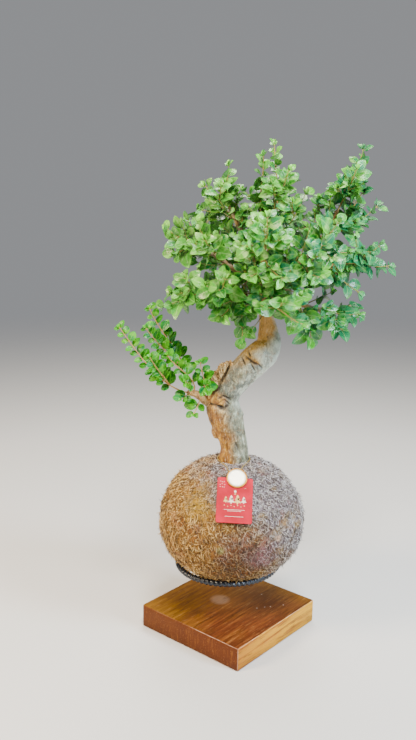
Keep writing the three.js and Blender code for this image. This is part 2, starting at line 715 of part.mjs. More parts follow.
// The whole plant, turned over its block as it stands in the photograph
function buildPlant() {
  const plant = new THREE.Group();
  plant.rotation.z = PLANT_TURN;
  plant.add(meshOf('ring_stand', standGeometry(), MATERIALS.stand));
  plant.add(meshOf('fibre_wrap', wrapGeometry(), MATERIALS.wrap));
  plant.add(meshOf('soil_core', coreGeometry(), MATERIALS.core));
  const trunk = trunkSolid();
  plant.add(meshOf('trunk', toGeometry(trunk), MATERIALS.trunk));
  plant.add(meshOf('tag_cord', cordGeometry(), MATERIALS.cord));
  const tag = new THREE.Group();
  tagMatrix().decompose(tag.position, tag.quaternion, tag.scale);
  tag.add(meshOf('tag_card', cardGeometry(), MATERIALS.card));
  tag.add(meshOf('tag_medal', medalGeometry(), MATERIALS.medal));
  plant.add(tag);
  addSprays(plant, trunk);
  return plant;
}

function addSprays(plant, trunk) {
  const taken = [boxed(trunk)];
  SPRAYS.forEach((spray, index) => {
    for (const curve of shootCurves(spray)) taken.push(boxed(twigSolid(curve), index));
  });
  SPRAYS.forEach((spray, index) => {
    const geometry = sprayGeometry(spray, index, taken);
    taken.push(boxed(toSolid(geometry), index));
    const green = new THREE.Color().setHSL(0.28 + 0.04 * draw(index, 7, 7), 0.5, 0.3);
    const name = `spray_${String(index + 1).padStart(2, '0')}`;
    geometry.computeVertexNormals();
    plant.add(meshOf(name, geometry, finish(green, 0.5)));
  });
}

const kokedama = new THREE.Group();
kokedama.add(meshOf('base_block', blockGeometry(), MATERIALS.block));
kokedama.add(buildPlant());

export default kokedama;
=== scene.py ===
import math
from collections import namedtuple

import bmesh
import bpy
import numpy as np
from mathutils import Matrix, Vector


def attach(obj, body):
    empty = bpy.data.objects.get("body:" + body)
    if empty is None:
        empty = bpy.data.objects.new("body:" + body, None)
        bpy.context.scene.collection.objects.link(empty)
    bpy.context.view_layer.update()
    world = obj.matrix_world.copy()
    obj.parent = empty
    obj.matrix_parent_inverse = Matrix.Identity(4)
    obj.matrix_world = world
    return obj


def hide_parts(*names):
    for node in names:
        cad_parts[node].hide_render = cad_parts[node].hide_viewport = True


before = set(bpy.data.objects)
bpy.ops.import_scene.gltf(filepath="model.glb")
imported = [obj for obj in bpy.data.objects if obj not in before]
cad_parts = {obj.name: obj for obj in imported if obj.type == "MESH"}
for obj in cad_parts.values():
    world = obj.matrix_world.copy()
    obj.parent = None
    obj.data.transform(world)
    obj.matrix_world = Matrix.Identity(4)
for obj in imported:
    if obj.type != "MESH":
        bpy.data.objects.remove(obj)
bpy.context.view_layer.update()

# Shared dimensions, in millimetres
TURN = 2 * math.pi
PLANT_TURN = math.radians(40.7)
GAP = 0.3
BLOCK_SIDE, BLOCK_THICK, BLOCK_ROUND, BLOCK_WEAR = 162, 31, 2, 0.35
BALL = np.array([1.5, 0, 150.4])
BALL_RADIUS, BALL_UP, BALL_DOWN, BALL_RELIEF = 92.3, 83, 78, 0.9
WRAP_THICK, MOUTH_RADIUS = 7, 21
RING_X, RING_Z, RING_RADIUS, BAR_RADIUS = -2.8, 90.2, 64.4, 4
RIB_DEPTH, RIBS_ROUND_RING, RIB_TURN_OF_POST = 0.12, 34, 0.62
RING_GROOVE, RING_FIBRE_GAP = 9, 6
POST_Y, POST_BEND, SOCKET_DEPTH = 84, 15, 18
CARD_WIDTH, CARD_HEIGHT, CARD_THICK, CARD_CORNER, PRINT_RISE = 43, 57, 0.8, 2, 0.06
CARD_POINT = np.array([2.7, -71.8, 202.6])
CARD_STANDOFF, CARD_LEAN = 1.9, math.radians(2.4)
MEDAL_RADIUS, SHANK_RADIUS, CORD_RADIUS = 12.6, 2, 0.7
MEDAL_X = 1.8
MEDAL_Y = CARD_HEIGHT / 2 - 0.5
SHANK_Y = MEDAL_Y - 6
CORD_LOOP = [[-7, -27], [-13.5, -15.5], [-17.2, -1], [-12, 14], [3, 21], [18, 15], [24, 0.5], [20.5, -14],
             [13, -29]]
CANOPY_CENTRE = np.array([45, 0, 470])
CANOPY_REACH = np.array([115, 85, 100])

# Fibres on the ball: count, seed, shortest, longest, most lift and thickest radius
STRANDS = [(13000, 11, 2.8, 6, 1.5, 0.52), (8500, 12, 2.8, 6, 3.2, 0.58), (900, 13, 5, 9, 6.5, 0.6)]

# Trunk, bark ridge and spur: points of the centreline, each with its radius
TRUNK = [
    [2, 0, 184, 12.5], [2, 0, 204, 16], [2.5, 0, 222, 18.6], [3.5, 0, 235, 18.6], [3, 0, 249, 17],
    [-2, 0, 268, 18], [-8.3, 0, 288, 21.5], [-11.3, 0, 300, 21.5], [-11, 0, 312, 19],
    [-3.5, 0, 326, 17.8], [9, 0, 341, 18.2], [25.5, 0, 357, 18.8], [39, 0, 370, 18.5], [44.5, 1, 382, 16],
    [43.5, 2, 395, 12.5], [42, 2, 408, 9.6], [40, 2, 422, 8.4], [38, 2, 434, 6.5],
]
BARK_RIDGE = [[-21, -2, 303, 5], [-24.5, -3, 318, 7], [-21, -3, 335, 7.5], [-12, -2, 348, 7], [0, -1, 357, 5]]
SPUR = [[-9, 0, 286, 10], [-15, -1, 274, 9.5], [-18, -1, 265, 7.5], [-19.5, -1, 259.5, 3.5]]

# Limbs: centreline, then the radius at its root and at its end
LIMBS = {
    "stub": ([[-14, -2, 300], [-31, -2, 307], [-44, -5, 317], [-56, -8, 320]], 8, 3),
    "left": ([[37, 2, 428], [7, -10, 467], [-24, -20, 491], [-44, -25, 501]], 4.2, 1.9),
    "tall": ([[37, 2, 428], [19, 8, 484], [4, 12, 525], [-8, 15, 549]], 4, 1.8),
    "top": ([[38, 2, 428], [41, 0, 482], [45, 0, 514], [49, 0, 538]], 4.6, 2),
    "high": ([[39, 2, 428], [63, 5, 460], [84, 8, 479], [108, 10, 513], [124, 10, 544]], 4.6, 1.9),
    "right": ([[40, 2, 426], [74, -5, 461], [103, -10, 476], [132, -12, 482]], 4.2, 1.9),
    "front": ([[37, 0, 428], [31, -40, 474], [33, -68, 502]], 3.8, 1.9),
    "back": ([[38, 4, 428], [47, 42, 471], [61, 72, 503]], 3.8, 1.9),
    "frontLeft": ([[36, 0, 424], [7, -20, 446], [-17, -30, 454]], 3.6, 1.9),
    "low": ([[41, 2, 420], [61, -14, 432], [85, -21, 432], [105, -24, 426]], 3.8, 1.8),
    "backLeft": ([[36, 4, 428], [6, 42, 474], [-22, 66, 502]], 3.8, 1.9),
    "frontRight": ([[40, 0, 428], [64, -35, 474], [86, -58, 498]], 3.8, 1.9),
    "backRight": ([[40, 4, 426], [70, 40, 450], [103, 60, 467]], 3.8, 1.9),
    "backLow": ([[37, 4, 422], [10, 30, 438], [-18, 42, 446]], 3.4, 1.8),
    "under": ([[40, 0, 420], [42, -28, 434], [46, -54, 435]], 3.2, 1.8),
}
LOW_LIMB = "stub"

# Sprays of each limb: how far along it the spray is rooted, and the tip of each of its shoots
LIMB_SPRAYS = {
    "top": [(1, [45, 0, 620], [60, -30, 590]), (0.8, [33, 8, 608]), (0.72, [83, -12, 565]),
            (0.85, [66, 48, 583])],
    "tall": [(1, [-8, 12, 596]), (0.88, [-36, 0, 572]), (0.8, [-30, 44, 558])],
    "left": [(1, [-80, -27, 522], [-70, -36, 494]), (0.88, [-57, -4, 532]), (0.7, [-36, -58, 512])],
    "frontLeft": [(1, [-74, -36, 450], [-84, -42, 434]), (0.8, [-34, -76, 462]), (0.6, [-16, -48, 422]),
                  (0.42, [10, -40, 396])],
    "high": [(1, [152, 10, 616], [138, -26, 592]), (0.92, [152, 2, 566]),
             (0.82, [174, 18, 550], [150, 44, 556]), (0.74, [106, 26, 558])],
    "right": [(1, [186, -10, 480], [168, -34, 506]), (0.86, [148, -28, 450]), (0.78, [160, 36, 494])],
    "low": [(1, [131, -30, 404], [142, -8, 432]), (0.78, [92, -34, 394]), (0.6, [84, -66, 424])],
    "front": [(1, [32, -98, 540], [4, -94, 508]), (0.8, [52, -96, 472])],
    "back": [(1, [66, 100, 548], [92, 96, 512]), (0.8, [34, 96, 490])],
    "backLeft": [(1, [-44, 84, 542], [-60, 76, 504]), (0.8, [-26, 94, 476]), (0.62, [-8, 72, 546])],
    "frontRight": [(1, [112, -78, 534], [126, -72, 500]), (0.8, [92, -92, 474])],
    "backRight": [(1, [146, 74, 492], [130, 84, 450])],
    "backLow": [(1, [-60, 44, 460], [-40, 62, 432])],
    "under": [(1, [52, -92, 446], [76, -84, 420])],
    "stub": [(1, [-138, -25, 405], [-100, -42, 372]), (0.93, [-104, 12, 423], [-107, -12, 402]),
             (0.8, [-80, -30, 372]), (0.6, [-40, -22, 362]), (0.52, [-48, -22, 296])],
}
SPRAYS = [(limb, *spray) for limb, sprays in LIMB_SPRAYS.items() for spray in sprays]
BRANCHED_LOW_SPRAYS = (38, 39)
LOW_TWIG_FLOOR = 306

# The bare space in front of the trunk's top: its height at y = 0, how that falls with y, and its sides
BARE_TOP, BARE_SLOPE, BARE_LEFT, BARE_RIGHT, BARE_BACK = 414, 0.25, 20, 58, 8


# Vectors and repeatable draws
def unit(v):
    return v / np.linalg.norm(v)


def units(rows):
    return rows / np.linalg.norm(rows, axis=1)[:, None]


def across(direction, reference):
    return unit(reference - direction * reference.dot(direction))


def draw(a, b, c):
    """A number from 0 to 1 that is the same every time for the same three numbers."""
    mix = (((a + 1) * 73856093) ^ ((b + 1) * 19349663) ^ ((c + 1) * 83492791)) & 0xFFFFFFFF
    mix = ((mix ^ (mix >> 13)) * 1274126177) & 0xFFFFFFFF
    return (mix ^ (mix >> 16)) / 4294967296


def ease(value, begins, ends):
    """One number read off a line of places and values."""
    return float(np.interp(value, begins, ends))


def turned(points, angle):
    """Points turned about the vertical axis."""
    c, s = math.cos(angle), math.sin(angle)
    return np.asarray(points, float) @ np.array([[c, s, 0], [-s, c, 0], [0, 0, 1]])


def to_row(points):
    return turned(points, PLANT_TURN) * 0.001


def falloff(points, place, radius, stretch=(1, 1, 1)):
    """1 at a place, falling smoothly to nothing a few radii away."""
    away = (points - np.array(place)) / stretch
    return np.exp(-np.sum(away ** 2, axis=1) / radius ** 2)


# Smooth repeatable noise between -1 and 1 at any points
def lattice(cell, seed):
    mix = cell[:, 0] * 374761393 + cell[:, 1] * 668265263 + cell[:, 2] * 1274126177 + seed * 2246822519
    mix = (mix ^ (mix >> 13)) * 1103515245 & 0x7FFFFFFF
    return ((mix ^ (mix >> 11)) & 0xFFFF) / 32767.5 - 1


def noise(points, seed=0):
    low = np.floor(points).astype(np.int64)
    part = points - low
    part = part * part * (3 - 2 * part)
    total = np.zeros(len(points))
    for corner in range(8):
        step = np.array([corner & 1, corner >> 1 & 1, corner >> 2 & 1])
        total += np.prod(np.where(step, part, 1 - part), axis=1) * lattice(low + step, seed)
    return total


def layered(points, octaves, seed=0):
    return sum(noise(points * 2 ** k, seed + k) / 2 ** k for k in range(octaves)) / (2 - 0.5 ** (octaves - 1))


# Curves, as functions of 0 to 1
def catmull(points):
    """A smooth curve through points, without overshoot where they are unevenly spaced."""
    knots = np.array(points, float)
    padded = np.vstack([2 * knots[0] - knots[1], knots, 2 * knots[-1] - knots[-2]])
    spans = len(knots) - 1

    def at(t):
        span = min(max(t, 0), 1) * spans
        i = min(int(span), spans - 1)
        w = span - i
        a, b, c, d = padded[i:i + 4]
        e, f, g = [max(np.linalg.norm(q - p) ** 0.5, 1e-4) for p, q in ((a, b), (b, c), (c, d))]
        first = ((b - a) / e - (c - a) / (e + f) + (c - b) / f) * f
        second = ((c - b) / f - (d - b) / (f + g) + (d - c) / g) * f
        return b + first * w + (3 * (c - b) - 2 * first - second) * w ** 2 + (
            2 * (b - c) + first + second) * w ** 3

    return at


def bezier(a, b, c, d):
    def at(t):
        u = 1 - t
        return a * u ** 3 + b * 3 * u * u * t + c * 3 * u * t * t + d * t ** 3

    return at


def tangent(curve, t):
    return unit(curve(min(t + 1e-4, 1)) - curve(max(t - 1e-4, 0)))


def sampled(curve, times):
    return np.array([curve(t) for t in times])


def run_lengths(points):
    """How far along a line of points each one lies."""
    return np.concatenate([[0], np.cumsum(np.linalg.norm(np.diff(points, axis=0), axis=1))])


def resampled(path, count, looped=False):
    """Evenly spaced points along a path, or round a loop."""
    path = np.asarray(path, float)
    if looped:
        path = np.vstack([path, path[:1]])
    along = run_lengths(path)
    spaced = np.linspace(0, along[-1], count, endpoint=not looped)
    return np.stack([np.interp(spaced, along, part) for part in path.T], axis=1)


class Shoot:
    """A curve measured along its length."""

    def __init__(self, curve, steps=60):
        self.curve = curve
        self.times = np.linspace(0, 1, steps + 1)
        points = sampled(curve, self.times)
        self.lengths = run_lengths(points)
        self.length = self.lengths[-1]
        outward = curve(0.5) - CANOPY_CENTRE
        outward[2] = 0
        steep = abs(unit(points[-1] - points[0])[2]) > 0.75
        self.reference = unit(outward) if steep else np.array([0, 0, 1.0])

    def time(self, along):
        return ease(along * self.length, self.lengths, self.times)

    def at(self, along):
        return self.curve(self.time(along))

    def axes(self, along):
        way = tangent(self.curve, self.time(along))
        level = unit(np.cross(way, self.reference))
        return way, level, np.cross(way, level)

    def aside(self, along, angle):
        """A direction square to the shoot, at an angle round it."""
        _, level, square = self.axes(along)
        return level * math.cos(angle) + square * math.sin(angle)


# Meshes
class Shape:
    """Corners, faces and the numbers that each corner carries, gathered before they become one mesh."""

    def __init__(self):
        self.points, self.quads, self.spots, self.tints = [], [], [], []
        self.count = 0

    def add(self, points, quads, spots=None, tints=0):
        self.points.append(np.asarray(points, float))
        self.quads.append(np.asarray(quads, np.int64) + self.count)
        self.spots.append(np.zeros((len(points), 3)) if spots is None else spots)
        self.tints.append(np.broadcast_to(np.asarray(tints, float), (len(points),)))
        self.count += len(points)

    def piece(self, name, material, replaces, slot):
        mesh = bpy.data.meshes.new(name)
        loops = np.concatenate(self.quads)
        mesh.vertices.add(self.count)
        mesh.vertices.foreach_set("co", to_row(np.concatenate(self.points)).astype(np.float32).ravel())
        mesh.loops.add(loops.size)
        mesh.loops.foreach_set("vertex_index", loops.astype(np.int32).ravel())
        mesh.polygons.add(len(loops))
        mesh.polygons.foreach_set("loop_start", np.arange(0, loops.size, 4, dtype=np.int32))
        mesh.update(calc_edges=True)
        mesh.validate()
        spot = mesh.attributes.new("spot", "FLOAT_VECTOR", "POINT")
        spot.data.foreach_set("vector", np.concatenate(self.spots).astype(np.float32).ravel())
        tint = mesh.attributes.new("tint", "FLOAT", "POINT")
        tint.data.foreach_set("value", np.concatenate(self.tints).astype(np.float32))
        mesh.shade_smooth()
        mesh.materials.append(material)
        made = in_scene(name, mesh)
        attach(made, "root")
        if replaces:
            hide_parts(*replaces)
        return made


def in_scene(name, data):
    made = bpy.data.objects.new(name, data)
    bpy.context.scene.collection.objects.link(made)
    return made


def grid_faces(rows, columns, closed=True, looped=False):
    """Faces of a grid of corners; closed joins the last column to the first, looped the last row."""
    long, wide = rows if looped else rows - 1, columns if closed else columns - 1
    row, column = np.meshgrid(np.arange(long), np.arange(wide), indexing="ij")
    beside, ahead = (column + 1) % columns, (row + 1) % rows
    corners = [(row, column), (row, beside), (ahead, beside), (ahead, column)]
    return np.stack([(r * columns + c).ravel() for r, c in corners], axis=1)


def circle(sides):
    return np.arange(sides) * TURN / sides


def ring_of(angles, first, second):
    return first * np.cos(angles)[:, None] + second * np.sin(angles)[:, None]


def tube(shape, centres, radii, sides, reference=(0, 0, 1), relief=None, tint=0, looped=False):
    """A tube through centres. relief(ring, angles) gives the share that the radius grows by."""
    centres = np.asarray(centres, float)
    ways = np.gradient(centres, axis=0)
    if looped:
        ways = np.roll(centres, -1, axis=0) - np.roll(centres, 1, axis=0)
    ways = units(ways)
    side = units(np.cross(ways, np.asarray(reference, float)))
    up = np.cross(side, ways)
    angles = circle(sides)
    radii = np.broadcast_to(np.asarray(radii, float), (len(centres),))
    points = []
    for i, centre in enumerate(centres):
        grown = 1 if relief is None else 1 + relief(i, angles)
        wide = radii[i] * np.broadcast_to(grown, (sides,))
        points.append(centre + ring_of(angles, side[i], up[i]) * wide[:, None])
    spots = np.zeros((len(centres) * sides, 3))
    spots[:, 0] = np.repeat(np.linspace(0, 1, len(centres)), sides)
    spots[:, 1] = -0.2
    shape.add(np.concatenate(points), grid_faces(len(centres), sides, looped=looped), spots, tint)
    return points


def cap_end(shape, ring, tint):
    """Closes a tube's end with rings that shrink to its middle."""
    middle = ring.mean(axis=0)
    rings = np.concatenate([middle + (ring - middle) * s for s in (1, 0.5, 0.02)])
    shape.add(rings, grid_faces(3, len(ring)), None, tint)


def weld(piece, distance=0.00002):
    """Joins corners that meet and turns all faces outwards."""
    work = bmesh.new()
    work.from_mesh(piece.data)
    bmesh.ops.remove_doubles(work, verts=work.verts, dist=distance)
    bmesh.ops.recalc_face_normals(work, faces=work.faces)
    work.to_mesh(piece.data)
    work.free()


# Materials
def colour(text):
    """A linear colour from six hexadecimal digits."""
    parts = [int(text[k:k + 2], 16) / 255 for k in (0, 2, 4)]
    return (*[p / 12.92 if p <= 0.04045 else ((p + 0.055) / 1.055) ** 2.4 for p in parts], 1)


class Look:
    """A material: its nodes, and the base colour that its layers build up one over another."""

    def __init__(self, name, roughness=0.6, in_plant_frame=True, **sockets):
        self.material = bpy.data.materials.new(name)
        self.material.use_nodes = True
        self.tree = self.material.node_tree
        self.surface = self.tree.nodes["Principled BSDF"]
        self.turn = -PLANT_TURN if in_plant_frame else 0
        self.base = None
        for key, value in {"Roughness": roughness, **sockets}.items():
            self.surface.inputs[key.replace("_", " ")].default_value = value

    def put(self, kind, inputs=None, **settings):
        made = self.tree.nodes.new("ShaderNode" + kind)
        for key, value in settings.items():
            setattr(made, key, value)
        for key, value in (inputs or {}).items():
            if isinstance(value, bpy.types.NodeSocket):
                self.tree.links.new(value, made.inputs[key])
            else:
                made.inputs[key].default_value = colour(value) if isinstance(value, str) else value
        return made.outputs

    def parts(self, vector):
        return self.put("SeparateXYZ", {0: vector})

    def place(self, stretch=(1, 1, 1)):
        """The place on the surface in millimetres, in the plant's frame or in the row frame."""
        where = self.put("TexCoord")["Object"]
        inputs = {"Vector": where, "Rotation": (0, 0, self.turn), "Scale": (1000, 1000, 1000)}
        return self.put("Mapping", {"Vector": self.put("Mapping", inputs)[0], "Scale": stretch})[0]

    def noise(self, scale, detail=4, rough=0.55, twist=0.0, stretch=(1, 1, 1)):
        inputs = {"Vector": self.place(stretch), "Scale": scale, "Detail": detail, "Roughness": rough}
        return self.put("TexNoise", {**inputs, "Distortion": twist})["Fac"]

    def spot(self):
        """The three numbers that a corner carries."""
        return self.parts(self.put("Attribute", attribute_name="spot")["Vector"])

    def tint(self):
        return self.put("Attribute", attribute_name="tint")["Fac"]

    def level(self, factor, low, high, to_low=0.0, to_high=1.0):
        return self.put("MapRange", {0: factor, 1: low, 2: high, 3: to_low, 4: to_high})[0]

    def near(self, point, inner, outer, strength=1):
        """Strength within the inner radius of a point, falling to nothing at the outer one."""
        away = self.put("VectorMath", {0: self.place(), 1: point}, operation="DISTANCE")["Value"]
        return self.level(away, inner, outer, strength, 0)

    def math(self, kind, first, second=0.0):
        return self.put("Math", {0: first, 1: second}, operation=kind)[0]

    def plus(self, first, second):
        return self.math("ADD", first, second)

    def times(self, first, second):
        return self.math("MULTIPLY", first, second)

    def most(self, first, second):
        return self.math("MAXIMUM", first, second)

    def ramp(self, factor, *stops):
        """A colour that follows a factor, from pairs of a position and a colour."""
        nodes = self.tree.nodes
        made = self.put("ValToRGB", {"Fac": factor})["Color"]
        elements = nodes[-1].color_ramp.elements
        while len(elements) < len(stops):
            elements.new(0.5)
        for element, (position, shade) in zip(elements, stops):
            element.position = position
            element.color = colour(shade)
        return made

    def mix(self, first, second, factor, low=None, high=None, strength=1, kind="MIX"):
        """The second colour over the first, by a factor or by where the factor lies from low to high."""
        if low is not None:
            factor = self.level(factor, low, high, 0, strength)
        return self.put("Mix", {0: factor, 6: first, 7: second}, data_type="RGBA", blend_type=kind)[2]

    def over(self, shade, factor, *span, **settings):
        self.base = self.mix(self.base, shade, factor, *span, **settings)

    def done(self, height=None, strength=0, distance_mm=0, roughness=None):
        """Links the colour, a bump from a height and a roughness, and gives the material."""
        links, inputs = self.tree.links, self.surface.inputs
        links.new(self.base, inputs["Base Color"])
        if roughness is not None:
            links.new(roughness, inputs["Roughness"])
        if height is not None:
            settings = {"Height": height, "Strength": strength, "Distance": distance_mm / 1000}
            links.new(self.put("Bump", settings)[0], inputs["Normal"])
        return self.material


def leaf_material(name, darkest, middle, brightest, rib, gloss, painted_warm_light, shaded):
    """A leaf with veins and uneven gloss; yellower on the crown's left and bluer on its right as painted warm
    and cool light, with painted shade low in the crown and a pale mottle that is partly painted sheen.
    """
    look = Look(name, 0.34, Specular_IOR_Level=gloss)
    along, aside, below = look.spot()
    across_crown, _, height = look.parts(look.place())
    aside = look.math("ABSOLUTE", aside)
    mottle_and_sheen = look.noise(0.16, 3)
    broad = look.noise(0.06, 2)
    look.base = look.ramp(look.tint(), (0, darkest), (0.5, middle), (1, brightest))
    # Pale mottle: partly the leaf's own colour, partly painted sheen.
    look.over(brightest, mottle_and_sheen, 0.38, 0.66, 0.42)
    look.over("0C7048", broad, 0.52, 0.62, 0.6)
    look.over(rib, look.noise(0.075, 2, stretch=(1, 1, 1.3)), 0.54, 0.64, 0.55)
    look.over(darkest, along, 0.5, 0, 0.45)
    look.over(brightest, aside, 0.72, 0.95, 0.6)
    look.over("1E7A0A", height, 495, 415, shaded)
    # Painted light: warm on the crown's left and cool on its right, varied in patches and turned away from
    # blue towards the top.
    painted_light_side = look.plus(across_crown, look.level(broad, 0.35, 0.65, -65, 65))
    painted_light_side = look.math("SUBTRACT", painted_light_side, look.level(height, 520, 600, 0, 60))
    look.over("006C4A", painted_light_side, 60, 140, 0.75)
    look.over("6A9A46", painted_light_side, 10, -90, painted_warm_light)
    wave = look.math("SUBTRACT", look.times(along, 7.0), look.times(aside, 2.4))
    side_veins = look.level(look.math("PINGPONG", wave, 0.5), 0.0, 0.1, 0.3, 0)
    veins = look.most(side_veins, look.level(aside, 0.02, 0.09, 1, 0))
    look.over(rib, look.times(veins, 0.5))
    look.over("5C8F4C", look.times(below, 0.35))
    waves = look.times(look.noise(0.3, 2), 3.0)
    return look.done(look.math("SUBTRACT", waves, veins), 0.5, 0.3, look.level(mottle_and_sheen, 0.3, 0.7, 0.18, 0.36))


def twig_material():
    look = Look("young_twig")
    grain = look.noise(0.9)
    young = look.mix("86903A", "6A7E30", grain)
    look.base = look.mix("94682C", "C4995A", grain)
    look.over(young, look.tint())
    return look.done(grain, 0.5, 0.3)


def bark_material():
    """Tan and orange-brown bark on one side of the trunk, grey-green on the other, partly as painted warm and
    cool light; painted light near its top and painted shade in its knots and creases.
    """
    look = Look("bark")
    _, grey_bark_and_cool_light, dark = look.spot()
    height = look.parts(look.place())[2]
    broad = look.noise(0.05, 4, 0.6)
    middling = look.noise(0.14, 5, 0.62, 0.4, (1, 1, 0.6))
    fine = look.noise(0.6, 6, 0.7, 0.3, (1, 1, 0.6))
    grain = look.noise(0.5, 5, 0.75, stretch=(1, 1, 0.2))
    brown = look.ramp(middling, (0.3, "462808"), (0.43, "7C4E10"), (0.55, "9E6E16"), (0.68, "CA9A30"))
    brown = look.mix(brown, "8C7418", height, 342, 372, 0.66)
    # Painted light: the brown bark turns pale gold near the top, where the crown's shadow falls.
    brown = look.mix(brown, "D69C50", height, 384, 396, 0.8)
    grey = look.ramp(middling, (0.3, "38382C"), (0.43, "5C5C47"), (0.55, "7C7F68"), (0.7, "B8BEA8"))
    # Painted highlight on the far right of the bend, and painted light lifting the grey bark where the crown
    # shades it.
    grey = look.mix(grey, "C4CCBA", grey_bark_and_cool_light, 0.9, 1.5, 0.75)
    grey = look.mix(grey, "D4E6E0", height, 345, 380, 0.58)
    stain = look.level(look.near((6, -18, 338), 14, 42), 0.1, 0.7, 0, 0.85)
    clouds = look.level(look.noise(0.11, 4, 0.65), 0.44, 0.56)
    grey = look.mix(grey, "464C42", look.times(stain, clouds))
    # Partly painted light: the bark turns grey towards the cool-lit right side and brown towards the warm-lit
    # left.
    side = look.plus(grey_bark_and_cool_light, look.level(broad, 0.3, 0.7, -0.45, 0.45))
    look.base = look.mix(brown, grey, side, -0.4, 0.45)
    look.over("7A4A1C", look.times(look.level(look.noise(0.2, 3, 0.6), 0.57, 0.64), 0.35))
    look.over("40301C", grain, 0.48, 0.34, 0.6)
    look.over("E6DCBC", grain, 0.54, 0.66, 0.3)
    look.over(look.ramp(fine, (0.34, "38200C"), (0.46, "A4783A"), (0.62, "E4C07C")), look.tint())
    look.over("33241A", fine, 0.45, 0.3, 0.6)
    look.over("E2D2A8", fine, 0.56, 0.7, 0.4)
    # Painted shade in the hollows and creases, and on the limbs inside the crown.
    look.over("22150B", dark, 0.08, 0.6, 0.9)
    return look.done(look.plus(fine, look.times(middling, 1.2)), 0.7, 1.0)


# Coir: where its ramps turn, and the dark, middle and bright colour of felt and strands on both sides; the
# felt is darker than the strands, its own colour with painted shade for the gaps between them
COIR_STOPS = (0.37, 0.5, 0.63)
TAN_FELT_AND_GAP_SHADE, TAN_STRAND = ("2A180A", "805826", "CC9E54"), ("A0743A", "ECBE6C", "FFEAA4")
MAUVE_FELT_AND_GAP_SHADE, MAUVE_STRAND = ("221C1E", "6C6066", "B8AEB2"), ("8E8A90", "DEDADE", "FFFFFF")

# Patches of the ball, the first a painted shade on its middle front: place, inner and outer radius, strength
# and colour
BALL_PATCHES_AND_SHADE = [
    ((12, -84, 130), 20, 62, 0.7, "663820"), ((-42, -64, 193), 5, 26, 0.5, "D0AC38"),
    ((56, -74, 156), 2.5, 5.5, 0.85, "F0C8A8"), ((-14, -91, 146), 2, 6, 0.7, "C4C078"),
    ((40, -82, 136), 6, 28, 0.3, "A87080"),
]


def coir_material(name, strand):
    """Coir: golden to red-brown on one side of the ball, grey and mauve on the other, partly as painted warm
    and cool light, with green specks; a painted shade on its middle front, and on the felt a painted shade
    between the strands.
    """
    look = Look(name, 0.55 if strand else 0.9, Specular_IOR_Level=0.5 if strand else 0.2)
    speckle = look.noise(0.7, 5, 0.85, stretch=(1, 1, 0.6))
    tan = look.ramp(speckle, *zip(COIR_STOPS, TAN_STRAND if strand else TAN_FELT_AND_GAP_SHADE))
    mauve = look.ramp(speckle, *zip(COIR_STOPS, MAUVE_STRAND if strand else MAUVE_FELT_AND_GAP_SHADE))
    x, _, z = look.parts(look.place())
    # Partly the coir's own colour and partly painted light: tan towards the warm left, grey-mauve towards the
    # cool upper right.
    across_ball = look.level(look.plus(x, look.times(z, 0.75)), 65, 185, -0.5, 0.5)
    side = look.plus(across_ball, look.level(look.noise(0.03, 4, 0.6), 0.3, 0.7, -0.35, 0.35))
    look.base = look.mix(tan, mauve, side, -0.2, 0.35, 0.9)
    look.over("9A5230", look.noise(0.045, 3), 0.55, 0.68, 0.45)
    look.over("C09A48", look.noise(0.035, 2, stretch=(1, 1, 1.4)), 0.56, 0.7, 0.5)
    for point, inner, outer, strength, shade in BALL_PATCHES_AND_SHADE:
        look.over(shade, look.near(point, inner, outer, strength))
    look.over("8E8A34", look.times(look.level(look.noise(0.25), 0.66, 0.7), 0.6))
    if strand:
        shade = look.ramp(look.tint(), (0, "2A1E16"), (0.33, "9C8E82"), (0.75, "FFFFFF"))
        look.over(shade, 1.0, kind="MULTIPLY")
    return look.done(speckle, 0.9, 1.4)


def soil_material():
    look = Look("dark_soil", 0.95)
    grains = look.noise(0.6, 6, 0.75)
    look.base = look.ramp(grains, (0.35, "1E150F"), (0.6, "4A3626"))
    return look.done(grains, 1.0, 2.0)


# Chips in the block's varnish, as x and y, and a painted pale round reflection beside them
BLOCK_CHIPS = [(44, 21), (59, 42), (49, 27), (38, 12), (20, 46)]
BLOCK_PAINTED_REFLECTION = (-12.8, -2.7, BLOCK_THICK)


